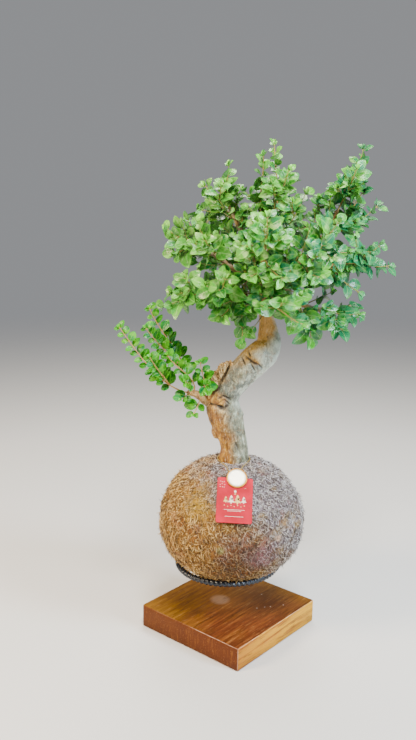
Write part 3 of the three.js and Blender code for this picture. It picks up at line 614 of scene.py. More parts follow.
def wood_material():
    """Varnished board: crisp grain along the block's own y, olive gold on one half, golden long sides."""
    look = Look("varnished_wood", 0.42, in_plant_frame=False, Specular_IOR_Level=0.15)
    x, y, z = look.parts(look.place())
    streak = look.noise(0.26, 7, 0.75, 0.2, (1, 0.05, 0.7))
    fibre = look.noise(0.6, 4, 0.7, stretch=(1, 0.08, 1))
    cloud = look.noise(0.03, 3, stretch=(1, 0.4, 1))
    normal = look.parts(look.put("NewGeometry")["Normal"])
    across_x, across_y, rise = [look.math("ABSOLUTE", part) for part in normal]
    gold = look.level(look.plus(x, look.times(y, 0.15)), 18, -50)
    gold = look.plus(gold, look.level(cloud, 0.35, 0.65, -0.2, 0.2))
    gold = look.most(gold, look.level(y, 40, 85, 0, 0.8))
    look.base = look.ramp(streak, (0.36, "46220E"), (0.5, "5A2D15"), (0.64, "78421C"))
    look.over(look.mix("5E3C04", "7E5606", streak, 0.4, 0.6), gold, 0, 1, 0.92)
    # Painted light: the top is lightened round the middle, against the shadow of the ball above it.
    look.over("9A6A38", look.near((5, 25, BLOCK_THICK), 20, 75, 0.22))
    sides = look.ramp(streak, (0.36, "6E3206"), (0.5, "9A560E"), (0.62, "C07E1A"))
    sides = look.mix(sides, "DA9A0A", look.noise(0.15, 3, 0.5, 0.5, (1, 0.07, 1)), 0.44, 0.54, 0.75)
    sides = look.mix(sides, "CA980A", y, 0, 85, 0.6)
    sides = look.mix(sides, "9A5814", y, -10, -81, 0.6)
    look.over(sides, across_x, 0.5, 0.9)
    end_side = look.level(across_y, 0.5, 0.9, 0, 0.9)
    look.over(look.mix("461A00", "643000", cloud), end_side)
    fleck = look.level(look.noise(0.4, 3, stretch=(1, 1, 0.16)), 0.58, 0.72, 0, 0.3)
    look.over("A86A1C", look.times(end_side, fleck))
    # Painted shade: the block darkens towards its bottom.
    look.over("3A1A06", z, 14, 0, 0.45)
    # Painted highlight: a thin pale line along the top edges and the upright corners, broken up where the
    # varnish is worn, fading along the left face.
    worn = look.level(look.noise(0.07, 4, 0.7), 0.38, 0.62, 0.1, 0.75)
    edge = look.times(look.level(rise, 0.4, 0.55), look.level(rise, 0.82, 0.68))
    upright_corner_highlight = look.level(look.times(across_x, across_y), 0.35, 0.48, 0, 0.7)
    edge = look.times(look.most(edge, upright_corner_highlight), worn)
    look.over("E4BEA6", look.times(edge, look.level(x, -30, 50, 0.15, 1)))
    # Painted reflection: a pale round spot of light on the top.
    look.over("B49A86", look.near(BLOCK_PAINTED_REFLECTION, 9, 15, 0.26))
    for chip in BLOCK_CHIPS:
        look.over("E0D0BC", look.near((*chip, BLOCK_THICK), 0.3, 1.1, 0.8))
    look.over("341606", fibre, 0.44, 0.34, 0.6)
    look.over("B4824A", fibre, 0.58, 0.68, 0.35)
    return look.done(fibre, 0.25, 0.2, look.level(streak, 0.3, 0.7, 0.34, 0.5))


def iron_material():
    look = Look("black_iron", 0.42, Metallic=0.45, Specular_IOR_Level=0.7)
    worn = look.noise(0.5, 5, 0.7)
    look.base = look.ramp(worn, (0.35, "0B0D12"), (0.7, "2E3440"))
    return look.done(worn, 0.4, 0.3, look.level(worn, 0.3, 0.7, 0.2, 0.42))


def card_material():
    look = Look("red_card", 0.7, Specular_IOR_Level=0.2)
    weave = look.noise(1.8, 4, 0.7)
    look.base = look.ramp(look.noise(0.05, 3), (0.35, "A00820"), (0.65, "BE1230"))
    look.over("BC2038", weave, 0.4, 0.7, 0.2)
    return look.done(weave, 0.25, 0.1)


def ink_material(name, shade):
    look = Look(name, 0.7, Specular_IOR_Level=0.2)
    look.base = look.mix(shade, "B83040", look.noise(0.9, 4, 0.7), 0.45, 0.7, 0.3)
    return look.done()


def metal_material(name, shade, dark, roughness, rim):
    look = Look(name, roughness, Metallic=0.95)
    brushed = look.noise(1.2, 4, 0.6)
    look.base = look.mix(shade, dark, brushed)
    look.over(rim, look.tint())
    return look.done(brushed, 0.15, 0.1, look.level(brushed, 0.3, 0.7, roughness * 0.7, roughness * 1.4))


# Base block, with softly rounded and slightly worn edges
def rounded_block(points):
    """Points of the block's faces, drawn in at its edges."""
    half = BLOCK_SIDE / 2 - BLOCK_ROUND
    inner = np.clip(points, [-half, -half, BLOCK_ROUND], [half, half, BLOCK_THICK - BLOCK_ROUND])
    away = points - inner
    length = np.maximum(np.linalg.norm(away, axis=1)[:, None], 1e-9)
    points = inner + away * np.minimum(BLOCK_ROUND / length, 1)
    edge = (np.sum(np.abs(away) > 1e-6, axis=1) > 1)[:, None]
    wear = BLOCK_WEAR * np.abs(layered(points * 0.11, 3, 5))[:, None]
    return points - edge * wear * away / length


def build_block(material):
    shape = Shape()
    half = BLOCK_SIDE / 2
    bend = BLOCK_ROUND * np.array([1 - math.cos(a) for a in np.linspace(0, math.pi / 2, 5)])
    wide = half * np.unique(np.concatenate([-1 + bend / half, 1 - bend / half, np.linspace(-1, 1, 61)[2:-2]]))
    height = np.unique(np.concatenate([bend, BLOCK_THICK - bend, np.linspace(4, 25, 10)]))

    def sheet(second, arrange):
        a, b = [part.ravel() for part in np.meshgrid(wide, second, indexing="ij")]
        points = rounded_block(np.stack(arrange(a, b), axis=1))
        shape.add(turned(points, -PLANT_TURN), grid_faces(len(wide), len(second), False))

    for z in (0, BLOCK_THICK):
        sheet(wide, lambda a, b, z=z: [a, b, np.full(len(a), float(z))])
    for side in (-half, half):
        sheet(height, lambda a, b, side=side: [a, np.full(len(a), side), b])
        sheet(height, lambda a, b, side=side: [np.full(len(a), side), a, b])
    weld(shape.piece("wood_block", material, ["base_block"], "block_wood"))


# Ring stand: a twisted bar bent to a ring, welded to a plain post
def build_ring(material):
    shape = Shape()
    turns = circle(620)
    level = np.full(len(turns), RING_Z)
    ring = np.stack([RING_X + RING_RADIUS * np.cos(turns), RING_RADIUS * np.sin(turns), level], axis=1)

    def ring_ribs(i, angles):
        return RIB_DEPTH * np.cos(2 * (angles + RIBS_ROUND_RING * turns[i])) - 0.08

    def post_ribs(i, angles):
        return RIB_DEPTH * np.cos(2 * (angles + RIB_TURN_OF_POST * i)) - 0.1

    tube(shape, ring, BAR_RADIUS, 20, relief=ring_ribs, looped=True)
    centre_y, centre_z = POST_Y - POST_BEND, RING_Z - POST_BEND
    path = [[RING_X, POST_Y, z] for z in np.arange(BLOCK_THICK - SOCKET_DEPTH, 73, 4) if z < centre_z]
    for angle in np.linspace(0, math.pi / 2, 10):
        path.append([RING_X, centre_y + POST_BEND * math.cos(angle), centre_z + POST_BEND * math.sin(angle)])
    path.append([RING_X, RING_RADIUS, RING_Z])
    tube(shape, resampled(path, 110), BAR_RADIUS, 20, reference=(1, 0, 0), relief=post_ribs)
    shape.piece("ribbed_ring", material, ["ring_stand"], "black_metal")


# Fibre ball
def ball_surface(directions):
    """Points of the ball's outside in given directions from its centre, and the way out there."""
    rise = np.where(directions[:, 2] < 0, BALL_DOWN, BALL_UP)
    radii = np.stack([np.full(len(rise), BALL_RADIUS)] * 2 + [rise], axis=1)
    local = directions / np.linalg.norm(directions / radii, axis=1)[:, None]
    turn = np.arctan2(local[:, 1], local[:, 0])
    lump = np.sin(5 * turn + local[:, 2] / 11) + np.sin(9 * turn - local[:, 2] / 7 + 2)
    far = np.hypot(local[:, 0], local[:, 1]) > 1.6 * MOUTH_RADIUS
    local = local * (1 + 0.5 * BALL_RELIEF * lump * far / BALL_RADIUS)[:, None]
    return local + BALL, units(local / radii ** 2)


def build_ball(material):
    shape = Shape()
    rows, columns = 150, 300
    latitude = np.linspace(-math.pi / 2 + 0.004, math.acos(MOUTH_RADIUS / BALL_RADIUS), rows)
    a, b = [part.ravel() for part in np.meshgrid(latitude, circle(columns), indexing="ij")]
    rise = np.where(a < 0, BALL_DOWN, BALL_UP)
    level = BALL_RADIUS * np.cos(a)
    points, out = ball_surface(np.stack([level * np.cos(b), level * np.sin(b), rise * np.sin(a)], axis=1))
    lift = 0.9 * layered(points * 0.35, 4, 3) + 1.2 * np.abs(layered(points * 0.12, 3, 9)) - 0.6
    lift = np.where(np.abs(points[:, 2] - RING_Z) < RING_GROOVE, np.minimum(lift, 0) - 0.3, lift)
    points = points + out * lift[:, None]
    shape.add(points, grid_faces(rows, columns))
    lip = points[-columns:]
    inner = lip.copy()
    inner[:, :2] = BALL[:2] + (inner[:, :2] - BALL[:2]) * 0.95
    inner[:, 2] -= WRAP_THICK
    shape.add(np.concatenate([lip, inner]), grid_faces(2, columns))
    shape.piece("coir_ball", material, ["fibre_wrap"], "coir_fibre")


def fibre_strands(count, seed, shortest, longest, lift_most, thickest):
    """Short fibres on the ball, most of them hanging, each a thin three-sided spike with one end lifted."""
    random = np.random.default_rng(seed)
    points, out = ball_surface(units(random.normal(size=(count, 3))))
    keep = (np.hypot(points[:, 0] - BALL[0], points[:, 1]) > MOUTH_RADIUS) | (points[:, 2] < BALL[2])
    keep &= np.abs(points[:, 2] - RING_Z) > RING_FIBRE_GAP
    points, out = points[keep], out[keep]
    total = len(points)
    way = random.normal(size=(total, 3)) + [0.2, 0, -0.9]
    way = units(way - out * np.sum(way * out, axis=1)[:, None])
    aside = np.cross(out, way)
    length = random.uniform(shortest, longest, total)
    lift = random.uniform(0.1, 1, total) ** 1.5 * lift_most
    radius = random.uniform(0.6, 1, total) * thickest
    rings = []
    for t, share in ((0, 0.8), (0.5, 1), (1, 0.3)):
        flat, normal = ball_surface(points + way * ((t - 0.5) * length)[:, None] - BALL)
        centre = flat + normal * (0.4 + lift * t ** 1.5)[:, None]
        for angle in circle(3):
            ring = aside * math.cos(angle) + out * math.sin(angle)
            rings.append(centre + ring * (radius * share)[:, None])
    faces = (grid_faces(3, 3)[None] + (np.arange(total) * 9)[:, None, None]).reshape(-1, 4)
    shape = Shape()
    tints = np.repeat(random.uniform(0, 1, total), 9)
    shape.add(np.stack(rings, axis=1).reshape(-1, 3), faces, None, tints)
    return shape


# Trunk, spur, ridge and limbs
def bark_tube(shape, stations, count, sides, roughness, lobes, tint, seed, steep=0.12):
    """A barked stem through stations, with lobes round it and relief of a given roughness and steepness."""
    curve = catmull([s[:3] for s in stations])
    times = np.linspace(0, 1, count)
    centres = sampled(curve, times)
    radii = np.interp(times, np.linspace(0, 1, len(stations)), [s[3] for s in stations])
    soft = np.convolve(np.pad(radii, 4, mode="edge"), np.ones(9) / 9, mode="valid")
    angles = circle(sides)
    rows = []
    for time, centre, radius in zip(times, centres, soft):
        way = tangent(curve, time)
        first = across(way, np.array([0, 1.0, 0]))
        shown = np.clip((time - 0.2) / 0.1, 0, 1) * (1 - np.clip((time - 0.8) / 0.1, 0, 1))
        wave = 0.035 * np.sin(3 * angles + 9 * time) + 0.03 * np.sin(5 * angles - 23 * time)
        wide = radius * (1 + lobes * shown * wave)
        rows.append(centre + ring_of(angles, first, np.cross(first, way)) * wide[:, None])
    points = np.concatenate(rows)
    away = units(points - np.repeat(centres, sides, axis=0))
    stretched = points * np.array([1, 1, 0.4])
    relief = layered(stretched * steep, 4, seed) + 0.5 * layered(stretched * steep * 4, 3, seed + 7)
    points, dark = carved(points + away * (roughness * np.minimum(relief, 0.35))[:, None], away)
    spots = np.column_stack([np.repeat(times, sides), grey_bark_and_cool_light(points, away), dark])
    shape.add(points, grid_faces(count, sides), spots, tint)
    cap_end(shape, points[-sides:], tint)


# Hollows of the bark, and burrs, whose depth is below nought: place, radius and depth
BARK_MARKS = [
    ([-13.7, -20, 304], 4.6, 3.8), ([-18, -17, 305], 3, 1.8), ([-2, -20, 297], 2.6, 1.0),
    ([4, -19, 289], 2.4, 0.8), ([12, -4, 292], 4, -2.2), ([-5, -18, 270], 3, 0.7), ([6, -17, 254], 2.6, 0.8),
    ([8, -18, 240], 3, -0.9), ([-12, -18, 324], 5, -1.2), ([22, -17, 362], 3.4, 1.0),
    ([38, -17, 372], 3.6, -1.0), ([-2, 20, 300], 4.5, 2.4), ([10, 18, 262], 3.5, -1.6),
    ([28, 18, 360], 4, 1.6), ([14, 14, 344], 3, 1.2),
]

# Creases of the bark: front (-1) or back (1), both ends as x and z, half width and depth
BARK_CREASES = [
    (-1, (-34, 306), (-21, 307), 1.4, 1.8), (-1, (-21, 307), (-10, 302), 1.8, 2.4),
    (-1, (-10, 302), (-5, 308), 1.6, 2.0), (-1, (-15, 319), (-4, 316), 1.1, 1.3),
    (-1, (-8, 299), (-12, 289), 0.8, 1.0), (-1, (-5, 297), (-8, 287), 0.8, 1.0),
    (-1, (-1, 294), (-4, 285), 0.7, 0.8), (-1, (5, 258), (8, 250), 1.1, 1.4),
    (-1, (-20, 314), (-11, 319), 1.1, 1.3), (-1, (-11, 319), (-2, 313), 1.1, 1.3),
    (-1, (-19, 309), (-10, 314), 0.9, 1.1), (-1, (-10, 314), (-3, 308), 0.9, 1.1),
    (-1, (19, 373), (21, 368), 1.2, 2.0), (-1, (15, 368), (23, 363), 1.3, 2.4),
    (-1, (21, 363), (30, 359), 1.4, 2.6), (-1, (22, 359), (27, 351), 1.2, 2.2),
    (-1, (30, 360), (36, 354), 1.1, 1.8), (-1, (11, 366), (15, 358), 1.1, 1.8),
    (-1, (-1, 362), (-19, 324), 1.3, 1.2), (-1, (-7, 264), (-5, 245), 0.8, 0.8),
    (-1, (6, 270), (9, 247), 0.8, 0.9), (-1, (0, 244), (1, 232), 0.7, 0.7),
    (-1, (4, 262), (6, 252), 0.6, 0.7), (-1, (-3, 340), (4, 335), 0.9, 1.0),
    (1, (-12, 310), (4, 301), 1.7, 2.0), (1, (-4, 322), (10, 316), 1.2, 1.4),
    (1, (24, 372), (34, 356), 1.2, 1.5), (1, (-3, 268), (0, 246), 0.8, 0.9),
    (1, (8, 258), (10, 240), 0.7, 0.8),
]

# Grey bark by height, and the brown patches on it as place and radius
GREY_HEIGHTS = [286, 312, 328, 348, 364, 382, 392, 402]
GREY_SHARES = [0.0, 0.5, 0.95, 0.95, 0.45, 0.1, -0.3, -0.9]
BROWN_PATCHES = [([-13, -20, 314], 9), ([18, -18, 368], 6.5), ([29, -16, 361], 5), ([-12, 19, 296], 9),
                 ([20, 18, 352], 8)]


def grey_bark_and_cool_light(points, away):
    """How far towards the grey bark each corner is: by side, partly as painted cool light from the right, by
    height, and less on brown patches.
    """
    grey = away[:, 0] + np.interp(points[:, 2], GREY_HEIGHTS, GREY_SHARES)
    for place, radius in BROWN_PATCHES:
        grey -= 1.3 * falloff(points, place, radius)
    return grey


def crease_nearness(points, start, end, width):
    """How near each corner lies to a wavering line, seen along y."""
    start, end = np.array(start, float), np.array(end, float)
    flat = points[:, [0, 2]]
    along = end - start
    share = np.clip((flat - start) @ along / along.dot(along), 0, 1)
    waver = 0.45 * noise(points * 0.35, 77) * (share > 0.1)
    gap = np.linalg.norm(flat - start - share[:, None] * along, axis=1) + waver
    return (1 - 0.5 * np.abs(2 * share - 1)) * np.exp(-(gap / width) ** 2)


def carved(points, away):
    """Sinks the hollows and raises the burrs; also gives the painted shade of each corner, darkest in the
    hollows and creases.
    """
    moved = points.copy()
    dark = np.zeros(len(points))
    for place, radius, depth in BARK_MARKS:
        near = falloff(points, place, radius, [1, 1, 0.8])
        moved -= away * (depth * near)[:, None]
        if depth > 0:
            dark = np.maximum(dark, np.clip(1.5 * near - 0.45, 0, 1) * min(depth / 2, 1))
    for side, start, end, width, depth in BARK_CREASES:
        near = crease_nearness(points, start, end, width) * np.clip(3 * side * away[:, 1], 0, 1)
        moved -= away * (depth * near)[:, None]
        dark = np.maximum(dark, near * min(1, 0.35 + depth / 4))
    return moved, dark


def build_trunk(material):
    """The trunk with its ridge and spur, then the limbs: paler on the low branch, darker in the crown as
    painted shade.
    """
    shape = Shape()
    bark_tube(shape, TRUNK, 400, 110, 0.9, 1, 0, 1)
    bark_tube(shape, BARK_RIDGE, 110, 44, 5.5, 0, 0.85, 21, 0.2)
    bark_tube(shape, SPUR, 40, 30, 1.8, 0, 0.35, 31)
    times = np.linspace(0, 1, 60)
    for k, (name, (path, root, end)) in enumerate(LIMBS.items()):
        centres = sampled(catmull(path), times)
        grain = layered(centres * 0.2, 3, 50 + k)

        def relief(i, angles, grain=grain):
            return 0.08 * np.sin(3 * angles + i * 0.4) * grain[i] + 0.1 * grain[i]

        reference = (1, 0, 0) if abs(path[-1][1] - path[0][1]) > 50 else (0, 1, 0)
        # Limbs inside the crown get painted shade; the low branch gets none.
        shade, dark = (0.5, 0) if name == LOW_LIMB else (0, 0.3)
        rings = tube(shape, centres, root + (end - root) * times, 12, reference, relief, shade)
        shape.spots[-1][:, 2] = dark
        cap_end(shape, rings[-1], shade)
    shape.piece("bark_trunk", material, ["trunk"], "bark")


# Foliage: what differs between the crown and the low branch. leaf, limb_leaf, stalk, spacing, twig_reach,
# limb_spacing and limb_reach are in millimetres, and the others are shares, a tint and a number of pairs.
Habit = namedtuple("Habit", [
    "leaf", "side_leaf", "limb_leaf", "leaf_width", "vary_from", "vary_by", "stalk", "stem_tint", "spacing",
    "least_pairs", "twig_reach", "limb_twigs_from", "limb_spacing", "limb_reach",
])
CROWN = Habit(
    leaf=21.5, side_leaf=0.8, limb_leaf=17, leaf_width=0.7, vary_from=0.68, vary_by=0.54, stalk=3.2,
    stem_tint=None, spacing=11.5, least_pairs=3, twig_reach=20, limb_twigs_from=0.2, limb_spacing=7.5,
    limb_reach=24)
LOW = Habit(
    leaf=13.6, side_leaf=0.88, limb_leaf=13.4, leaf_width=0.8, vary_from=0.88, vary_by=0.24, stalk=1.28,
    stem_tint=0.05, spacing=11, least_pairs=2, twig_reach=14, limb_twigs_from=0.3, limb_spacing=12,
    limb_reach=15)
LOW_FACING = np.array([-0.15, -0.8, 0.45])
LOW_UPPER_SHARE, LOW_LOWER_SHARE = 1.12, 0.78
STEM_RADIUS, SIDE_TWIG_RADIUS, LIMB_TWIG_RADIUS = 1.05, 0.7, 0.8
SIDE_TWIG_TINT = 0.7
TIP_LEAF_LENGTH, TIP_LEAF_WIDTH = 0.38, 0.26
SPIRE_HEIGHT, SPIRE_SPACING, TIP_CLEAR = 600, 9, 3
LEAF_ROWS, LEAF_COLUMNS, LEAF_THICK = 8, 5, 0.3


def leaf_template():
    """A leaf of length 1: place along, place across from -1 to 1, and the faces of both sides."""
    along = np.array([0, 0.07, 0.2, 0.38, 0.58, 0.77, 0.92, 1.0])
    a, b = np.meshgrid(along, np.linspace(-1, 1, LEAF_COLUMNS), indexing="ij")
    top = grid_faces(LEAF_ROWS, LEAF_COLUMNS, False)
    return a.ravel(), b.ravel(), np.vstack([top, top[:, ::-1] + LEAF_ROWS * LEAF_COLUMNS])


LEAF_ALONG, LEAF_ASIDE, LEAF_FACES = leaf_template()


def half_widths(skew, fullness):
    return 0.5 * np.sin(math.pi * np.clip(LEAF_ALONG, 0.003, 0.997) ** skew) ** fullness


OVATE, ELLIPTIC, ROUND = half_widths(0.74, 0.74), half_widths(0.88, 0.66), half_widths(0.94, 0.54)


def add_leaf(shape, root, way, face, length, width, seed, shade, outline=ELLIPTIC):
    """A leaf with its midrib sunk, its sides raised and its tip bent down."""
    bend, cup = 0.10 + 0.14 * draw(seed, 3, 1), 0.10 + 0.16 * draw(seed, 3, 2)
    twist = 0.5 * (draw(seed, 3, 3) - 0.5)
    ripple = 0.02 * np.sin(9 * LEAF_ALONG + 6 * draw(seed, 3, 4)) * LEAF_ASIDE ** 2
    reach = outline * width * LEAF_ASIDE
    rise = length * (0.16 * LEAF_ALONG - (0.16 + bend) * LEAF_ALONG ** 2 + ripple)
    rise += cup * np.abs(reach) + twist * LEAF_ALONG * reach * 0.6
    aside = np.cross(face, way) * reach[:, None]
    top = root + way * (LEAF_ALONG * length)[:, None] + aside + face * rise[:, None]
    sides = [np.stack([LEAF_ALONG, LEAF_ASIDE, np.full(len(reach), below)], axis=1) for below in (0.0, 1.0)]
    shape.add(np.concatenate([top, top - face * LEAF_THICK]), LEAF_FACES, np.concatenate(sides), shade)


def add_stalk(shape, start, root, way):
    centres = [start, start * 0.5 + root * 0.5, root + way * 1.2]
    reference = (0, 0, 1) if abs(way[2]) < 0.9 else (1, 0, 0)
    tube(shape, centres, [0.55, 0.42, 0.3], 4, reference=reference, tint=0.8)


def leaf_place(shoot, along, side, pair, seed, habit):
    """Where a leaf's stalk starts, the leaf's root, the way it points and the way it faces."""
    way, level, square = shoot.axes(along)
    centre = shoot.at(along)
    roll = side * (0.55 if pair % 2 else -0.2) + 0.5 * (draw(seed, pair, 1) - 0.5)
    droop = 0
    if habit is LOW:
        level = across(way, np.cross(way, LOW_FACING))
        square = np.cross(way, level)
        roll *= 0.6
        light = LOW_FACING.copy()
    else:
        droop = 0.3 * ease(centre[2], [400, 520], [1, 0])
        droop += 0.4 * ease(centre[0], [110, 150], [0, 1]) * ease(centre[2], [500, 530], [1, 0])
        forward = ease(centre[1], [20, 70], [0.8, 0]) + ease(centre[2], [540, 590], [0, 0.5])
        light = unit((centre - CANOPY_CENTRE) * [1, 1, 0.5]) * 0.75 + np.array([0, -forward, 0.3])
    aside = level * side * math.cos(roll) + square * math.sin(roll)
    out = way * (0.45 + 0.35 * draw(seed, pair, 2 + side)) + aside * 0.9
    out[2] -= droop
    out = unit(out)
    light[0] += 1.1 * (draw(seed, pair, 5 + side) - 0.5)
    light[1] += 0.7 * (draw(seed, pair, 8 + side) - 0.5)
    return centre, centre + out * habit.stalk, out, across(out, unit(light))


def arc(root, start, tip, lift=0.35):
    """A shoot that leaves its root in a given way and rises towards its tip."""
    reach = np.linalg.norm(tip - root)
    rise = unit(unit(tip - root) + np.array([0, 0, lift]))
    return Shoot(bezier(root, root + start * 0.3 * reach, tip - rise * 0.3 * reach, tip), 30)


def shoot_curves(spray):
    """A spray's shoots: the first from the limb, the others forking from it."""
    limb_name, rooted, *tips = spray
    path, root_radius, end_radius = LIMBS[limb_name]
    curve = catmull(path)
    centre, way = curve(rooted), tangent(curve, rooted)
    tips = [np.array(tip, float) for tip in tips]
    start, clear = way, GAP
    if rooted < 1:
        start = across(way, tips[0] - centre)
        clear = root_radius + (end_radius - root_radius) * rooted + GAP
    shoots = [arc(centre + start * clear, start, tips[0])]
    fork = shoots[0].at(0.2)
    return shoots + [arc(fork, unit(tip - fork), tip) for tip in tips[1:]]


def hides_trunk(point):
    """True in the bare space in front of the trunk's top."""
    x, y, z = point
    return z < BARE_TOP - BARE_SLOPE * y and BARE_LEFT < x < BARE_RIGHT and y < BARE_BACK


def pair_places(shoot, first, count):
    """Where along a shoot its pairs of leaves sit; the last stays clear of the tip."""
    return np.linspace(first, 1 - TIP_CLEAR / shoot.length, count)


def dress_shoot(leaves, twigs, shoot, pairs, seed, habit, size, thick):
    """A twig with a pair of leaves at each of the given places, smaller and brighter towards its tip."""
    low = habit is LOW
    centres = [shoot.at(t) for t in np.linspace(0, 1, max(4, int(shoot.length / 5)))]
    stem_tint = habit.stem_tint or ease(shoot.at(1)[2], [550, 590], [0.6, 0.3])
    radii = np.linspace(thick, thick * 0.45, len(centres))
    tint = SIDE_TWIG_TINT if thick < STEM_RADIUS else stem_tint
    tube(twigs, centres, radii, 6, reference=shoot.reference, tint=tint)
    if not low:
        size = size * ease(shoot.at(0.5)[2], [400, 450, 540, 590], [1.15, 1.05, 1.0, 0.84])
    for pair, along in enumerate(pairs):
        for side in (1, -1):
            start, root, out, face = leaf_place(shoot, along, side, pair, seed, habit)
            if hides_trunk(root + out * size / 2):
                continue
            varied = habit.vary_from + habit.vary_by * draw(seed, pair, 11 + side)
            if low:
                varied *= LOW_UPPER_SHARE if side > 0 else LOW_LOWER_SHARE
            length = size * (1.04 - 0.46 * along ** 2.6) * varied
            width = length * (habit.leaf_width + 0.1 * draw(seed, pair, 21 + side))
            number = seed * 64 + pair * 2 + (side > 0)
            # Painted shade: leaves deeper in the crown get a darker tint.
            inside = 0 if low else 1 - min(1, np.linalg.norm((root - CANOPY_CENTRE) / CANOPY_REACH))
            shade = max(0, 0.05 + 0.3 * along ** 2 + 0.65 * draw(number, 5, 5) - 0.9 * inside)
            outline = ROUND if low else (OVATE if draw(number, 5, 6) < 0.4 else ELLIPTIC)
            add_leaf(leaves, root, out, face, length, width, number, shade, outline)
            add_stalk(twigs, start, root, out)
    if hides_trunk(shoot.at(1)):
        return
    for side in (1, -1):
        _, _, out, face = leaf_place(shoot, 1, side, 9, seed, habit)
        out = unit(shoot.axes(1)[0] + 0.45 * out)
        face, number = across(out, face), seed * 64 + 60 + side
        add_leaf(leaves, shoot.at(0.99), out, face, size * TIP_LEAF_LENGTH, size * TIP_LEAF_WIDTH, number, 1)


def side_twigs(shoot, seed, habit):
    """Short twigs that leave a shoot on both sides in turn."""
    made = []
    count = max(1, int(shoot.length / 24))
    spread = 0.55 if habit is LOW else ease(shoot.at(1)[2], [560, 590], [0.66, 0.3])
    for k in range(count):
        along = 0.12 + spread * (k + 0.3 * draw(seed, k, 31)) / count
        turn = (k % 2) * math.pi + 1.6 * (draw(seed, k, 32) - 0.5)
        start = unit(shoot.axes(along)[0] * 0.6 + shoot.aside(along, turn))
        reach = (habit.twig_reach + 12 * draw(seed, k, 33)) * (1.2 - 0.6 * along)
        root = shoot.at(along)
        made.append(arc(root, start, root + unit(start + np.array([0, 0, 0.3])) * reach, 0.2))
    return made


def limb_twigs(name, seed, habit):
    """Leafy twigs that grow straight from a limb, winding round it from below to its end."""
    path, root_radius, end_radius = LIMBS[name]
    shoot = Shoot(catmull(path))
    made = []
    begin, end = habit.limb_twigs_from, 0.97
    count = int(shoot.length * (end - begin) / habit.limb_spacing)
    for k, along in enumerate(np.linspace(begin, end, max(count, 2))):
        aside = shoot.aside(along, 2.4 * k + draw(seed, k, 41))
        centre = shoot.at(along)
        outward = unit(centre - CANOPY_CENTRE + np.array([0, 0, 25]))
        way = shoot.axes(along)[0]
        start = unit(way * 0.4 + aside + 0.3 * outward)
        reach = habit.limb_reach + 18 * draw(seed, k, 42)
        radius = root_radius + (end_radius - root_radius) * along
        base = centre + across(way, start) * radius * 0.7
        tip = base + unit(start + 0.35 * outward + np.array([0, -0.1, 0.2])) * reach
        made.append(arc(base, start, tip, 0.2))
    return made


def leafy_pieces(name, leaves, twigs, habit, replaced):
    leaves.piece("leaves_" + name, LEAF_LOOKS[habit], replaced, "foliage")
    twigs.piece("twigs_" + name, TWIG_LOOK, replaced, "foliage")


def build_spray(index, spray):
    habit = LOW if spray[0] == LOW_LIMB else CROWN
    leaves, twigs = Shape(), Shape()
    for number, shoot in enumerate(shoot_curves(spray)):
        seed = index * 4 + number
        spacing = SPIRE_SPACING if shoot.at(1)[2] > SPIRE_HEIGHT else habit.spacing
        count = max(habit.least_pairs, int(shoot.length / spacing))
        pairs = pair_places(shoot, 0.2 if number == 0 else 0.3, count)
        dress_shoot(leaves, twigs, shoot, pairs, seed, habit, habit.leaf, STEM_RADIUS)
        for k, twig in enumerate(side_twigs(shoot, seed, habit)):
            bare = habit is LOW and (k % 2 or index not in BRANCHED_LOW_SPRAYS)
            if bare or hides_trunk(twig.at(1)):
                continue
            pairs = pair_places(twig, 0.35, 2 if twig.length < 24 else 3)
            size = habit.leaf * habit.side_leaf
            dress_shoot(leaves, twigs, twig, pairs, 200 + seed * 8 + k, habit, size, SIDE_TWIG_RADIUS)
    name = f"{index + 1:02d}"
    leafy_pieces(name, leaves, twigs, habit, [f"spray_{name}"])


def build_limb_foliage(number, name):
    habit = LOW if name == LOW_LIMB else CROWN
    leaves, twigs = Shape(), Shape()
    seed = 900 + number * 40
    for k, twig in enumerate(limb_twigs(name, seed, habit)):
        if hides_trunk(twig.at(1)) or habit is LOW and twig.at(1)[2] < LOW_TWIG_FLOOR:
            continue
        pairs = pair_places(twig, 0.38, 2 if twig.length < 22 else 3)
        dress_shoot(leaves, twigs, twig, pairs, seed + k, habit, habit.limb_leaf, LIMB_TWIG_RADIUS)
    leafy_pieces("limb_" + name, leaves, twigs, habit, [])


# Tag
def tag_axes():
    """The middle of the card and its three directions: right, up and out from the ball."""
    local = CARD_POINT - BALL
    normal = unit(local * np.array([1, 1, (BALL_RADIUS / BALL_UP) ** 2]))
    up = across(normal, np.array([math.sin(CARD_LEAN), 0, math.cos(CARD_LEAN)]))
    return CARD_POINT + normal * CARD_STANDOFF, np.stack([np.cross(up, normal), up, normal])


def on_tag(points):
    """Plant-frame points from places on the tag: right, up and out from the card's middle."""
    middle, axes = tag_axes()
    return middle + np.asarray(points, float) @ axes


def flat_on_tag(points, height):
    return on_tag(np.column_stack([points, np.full(len(points), height)]))


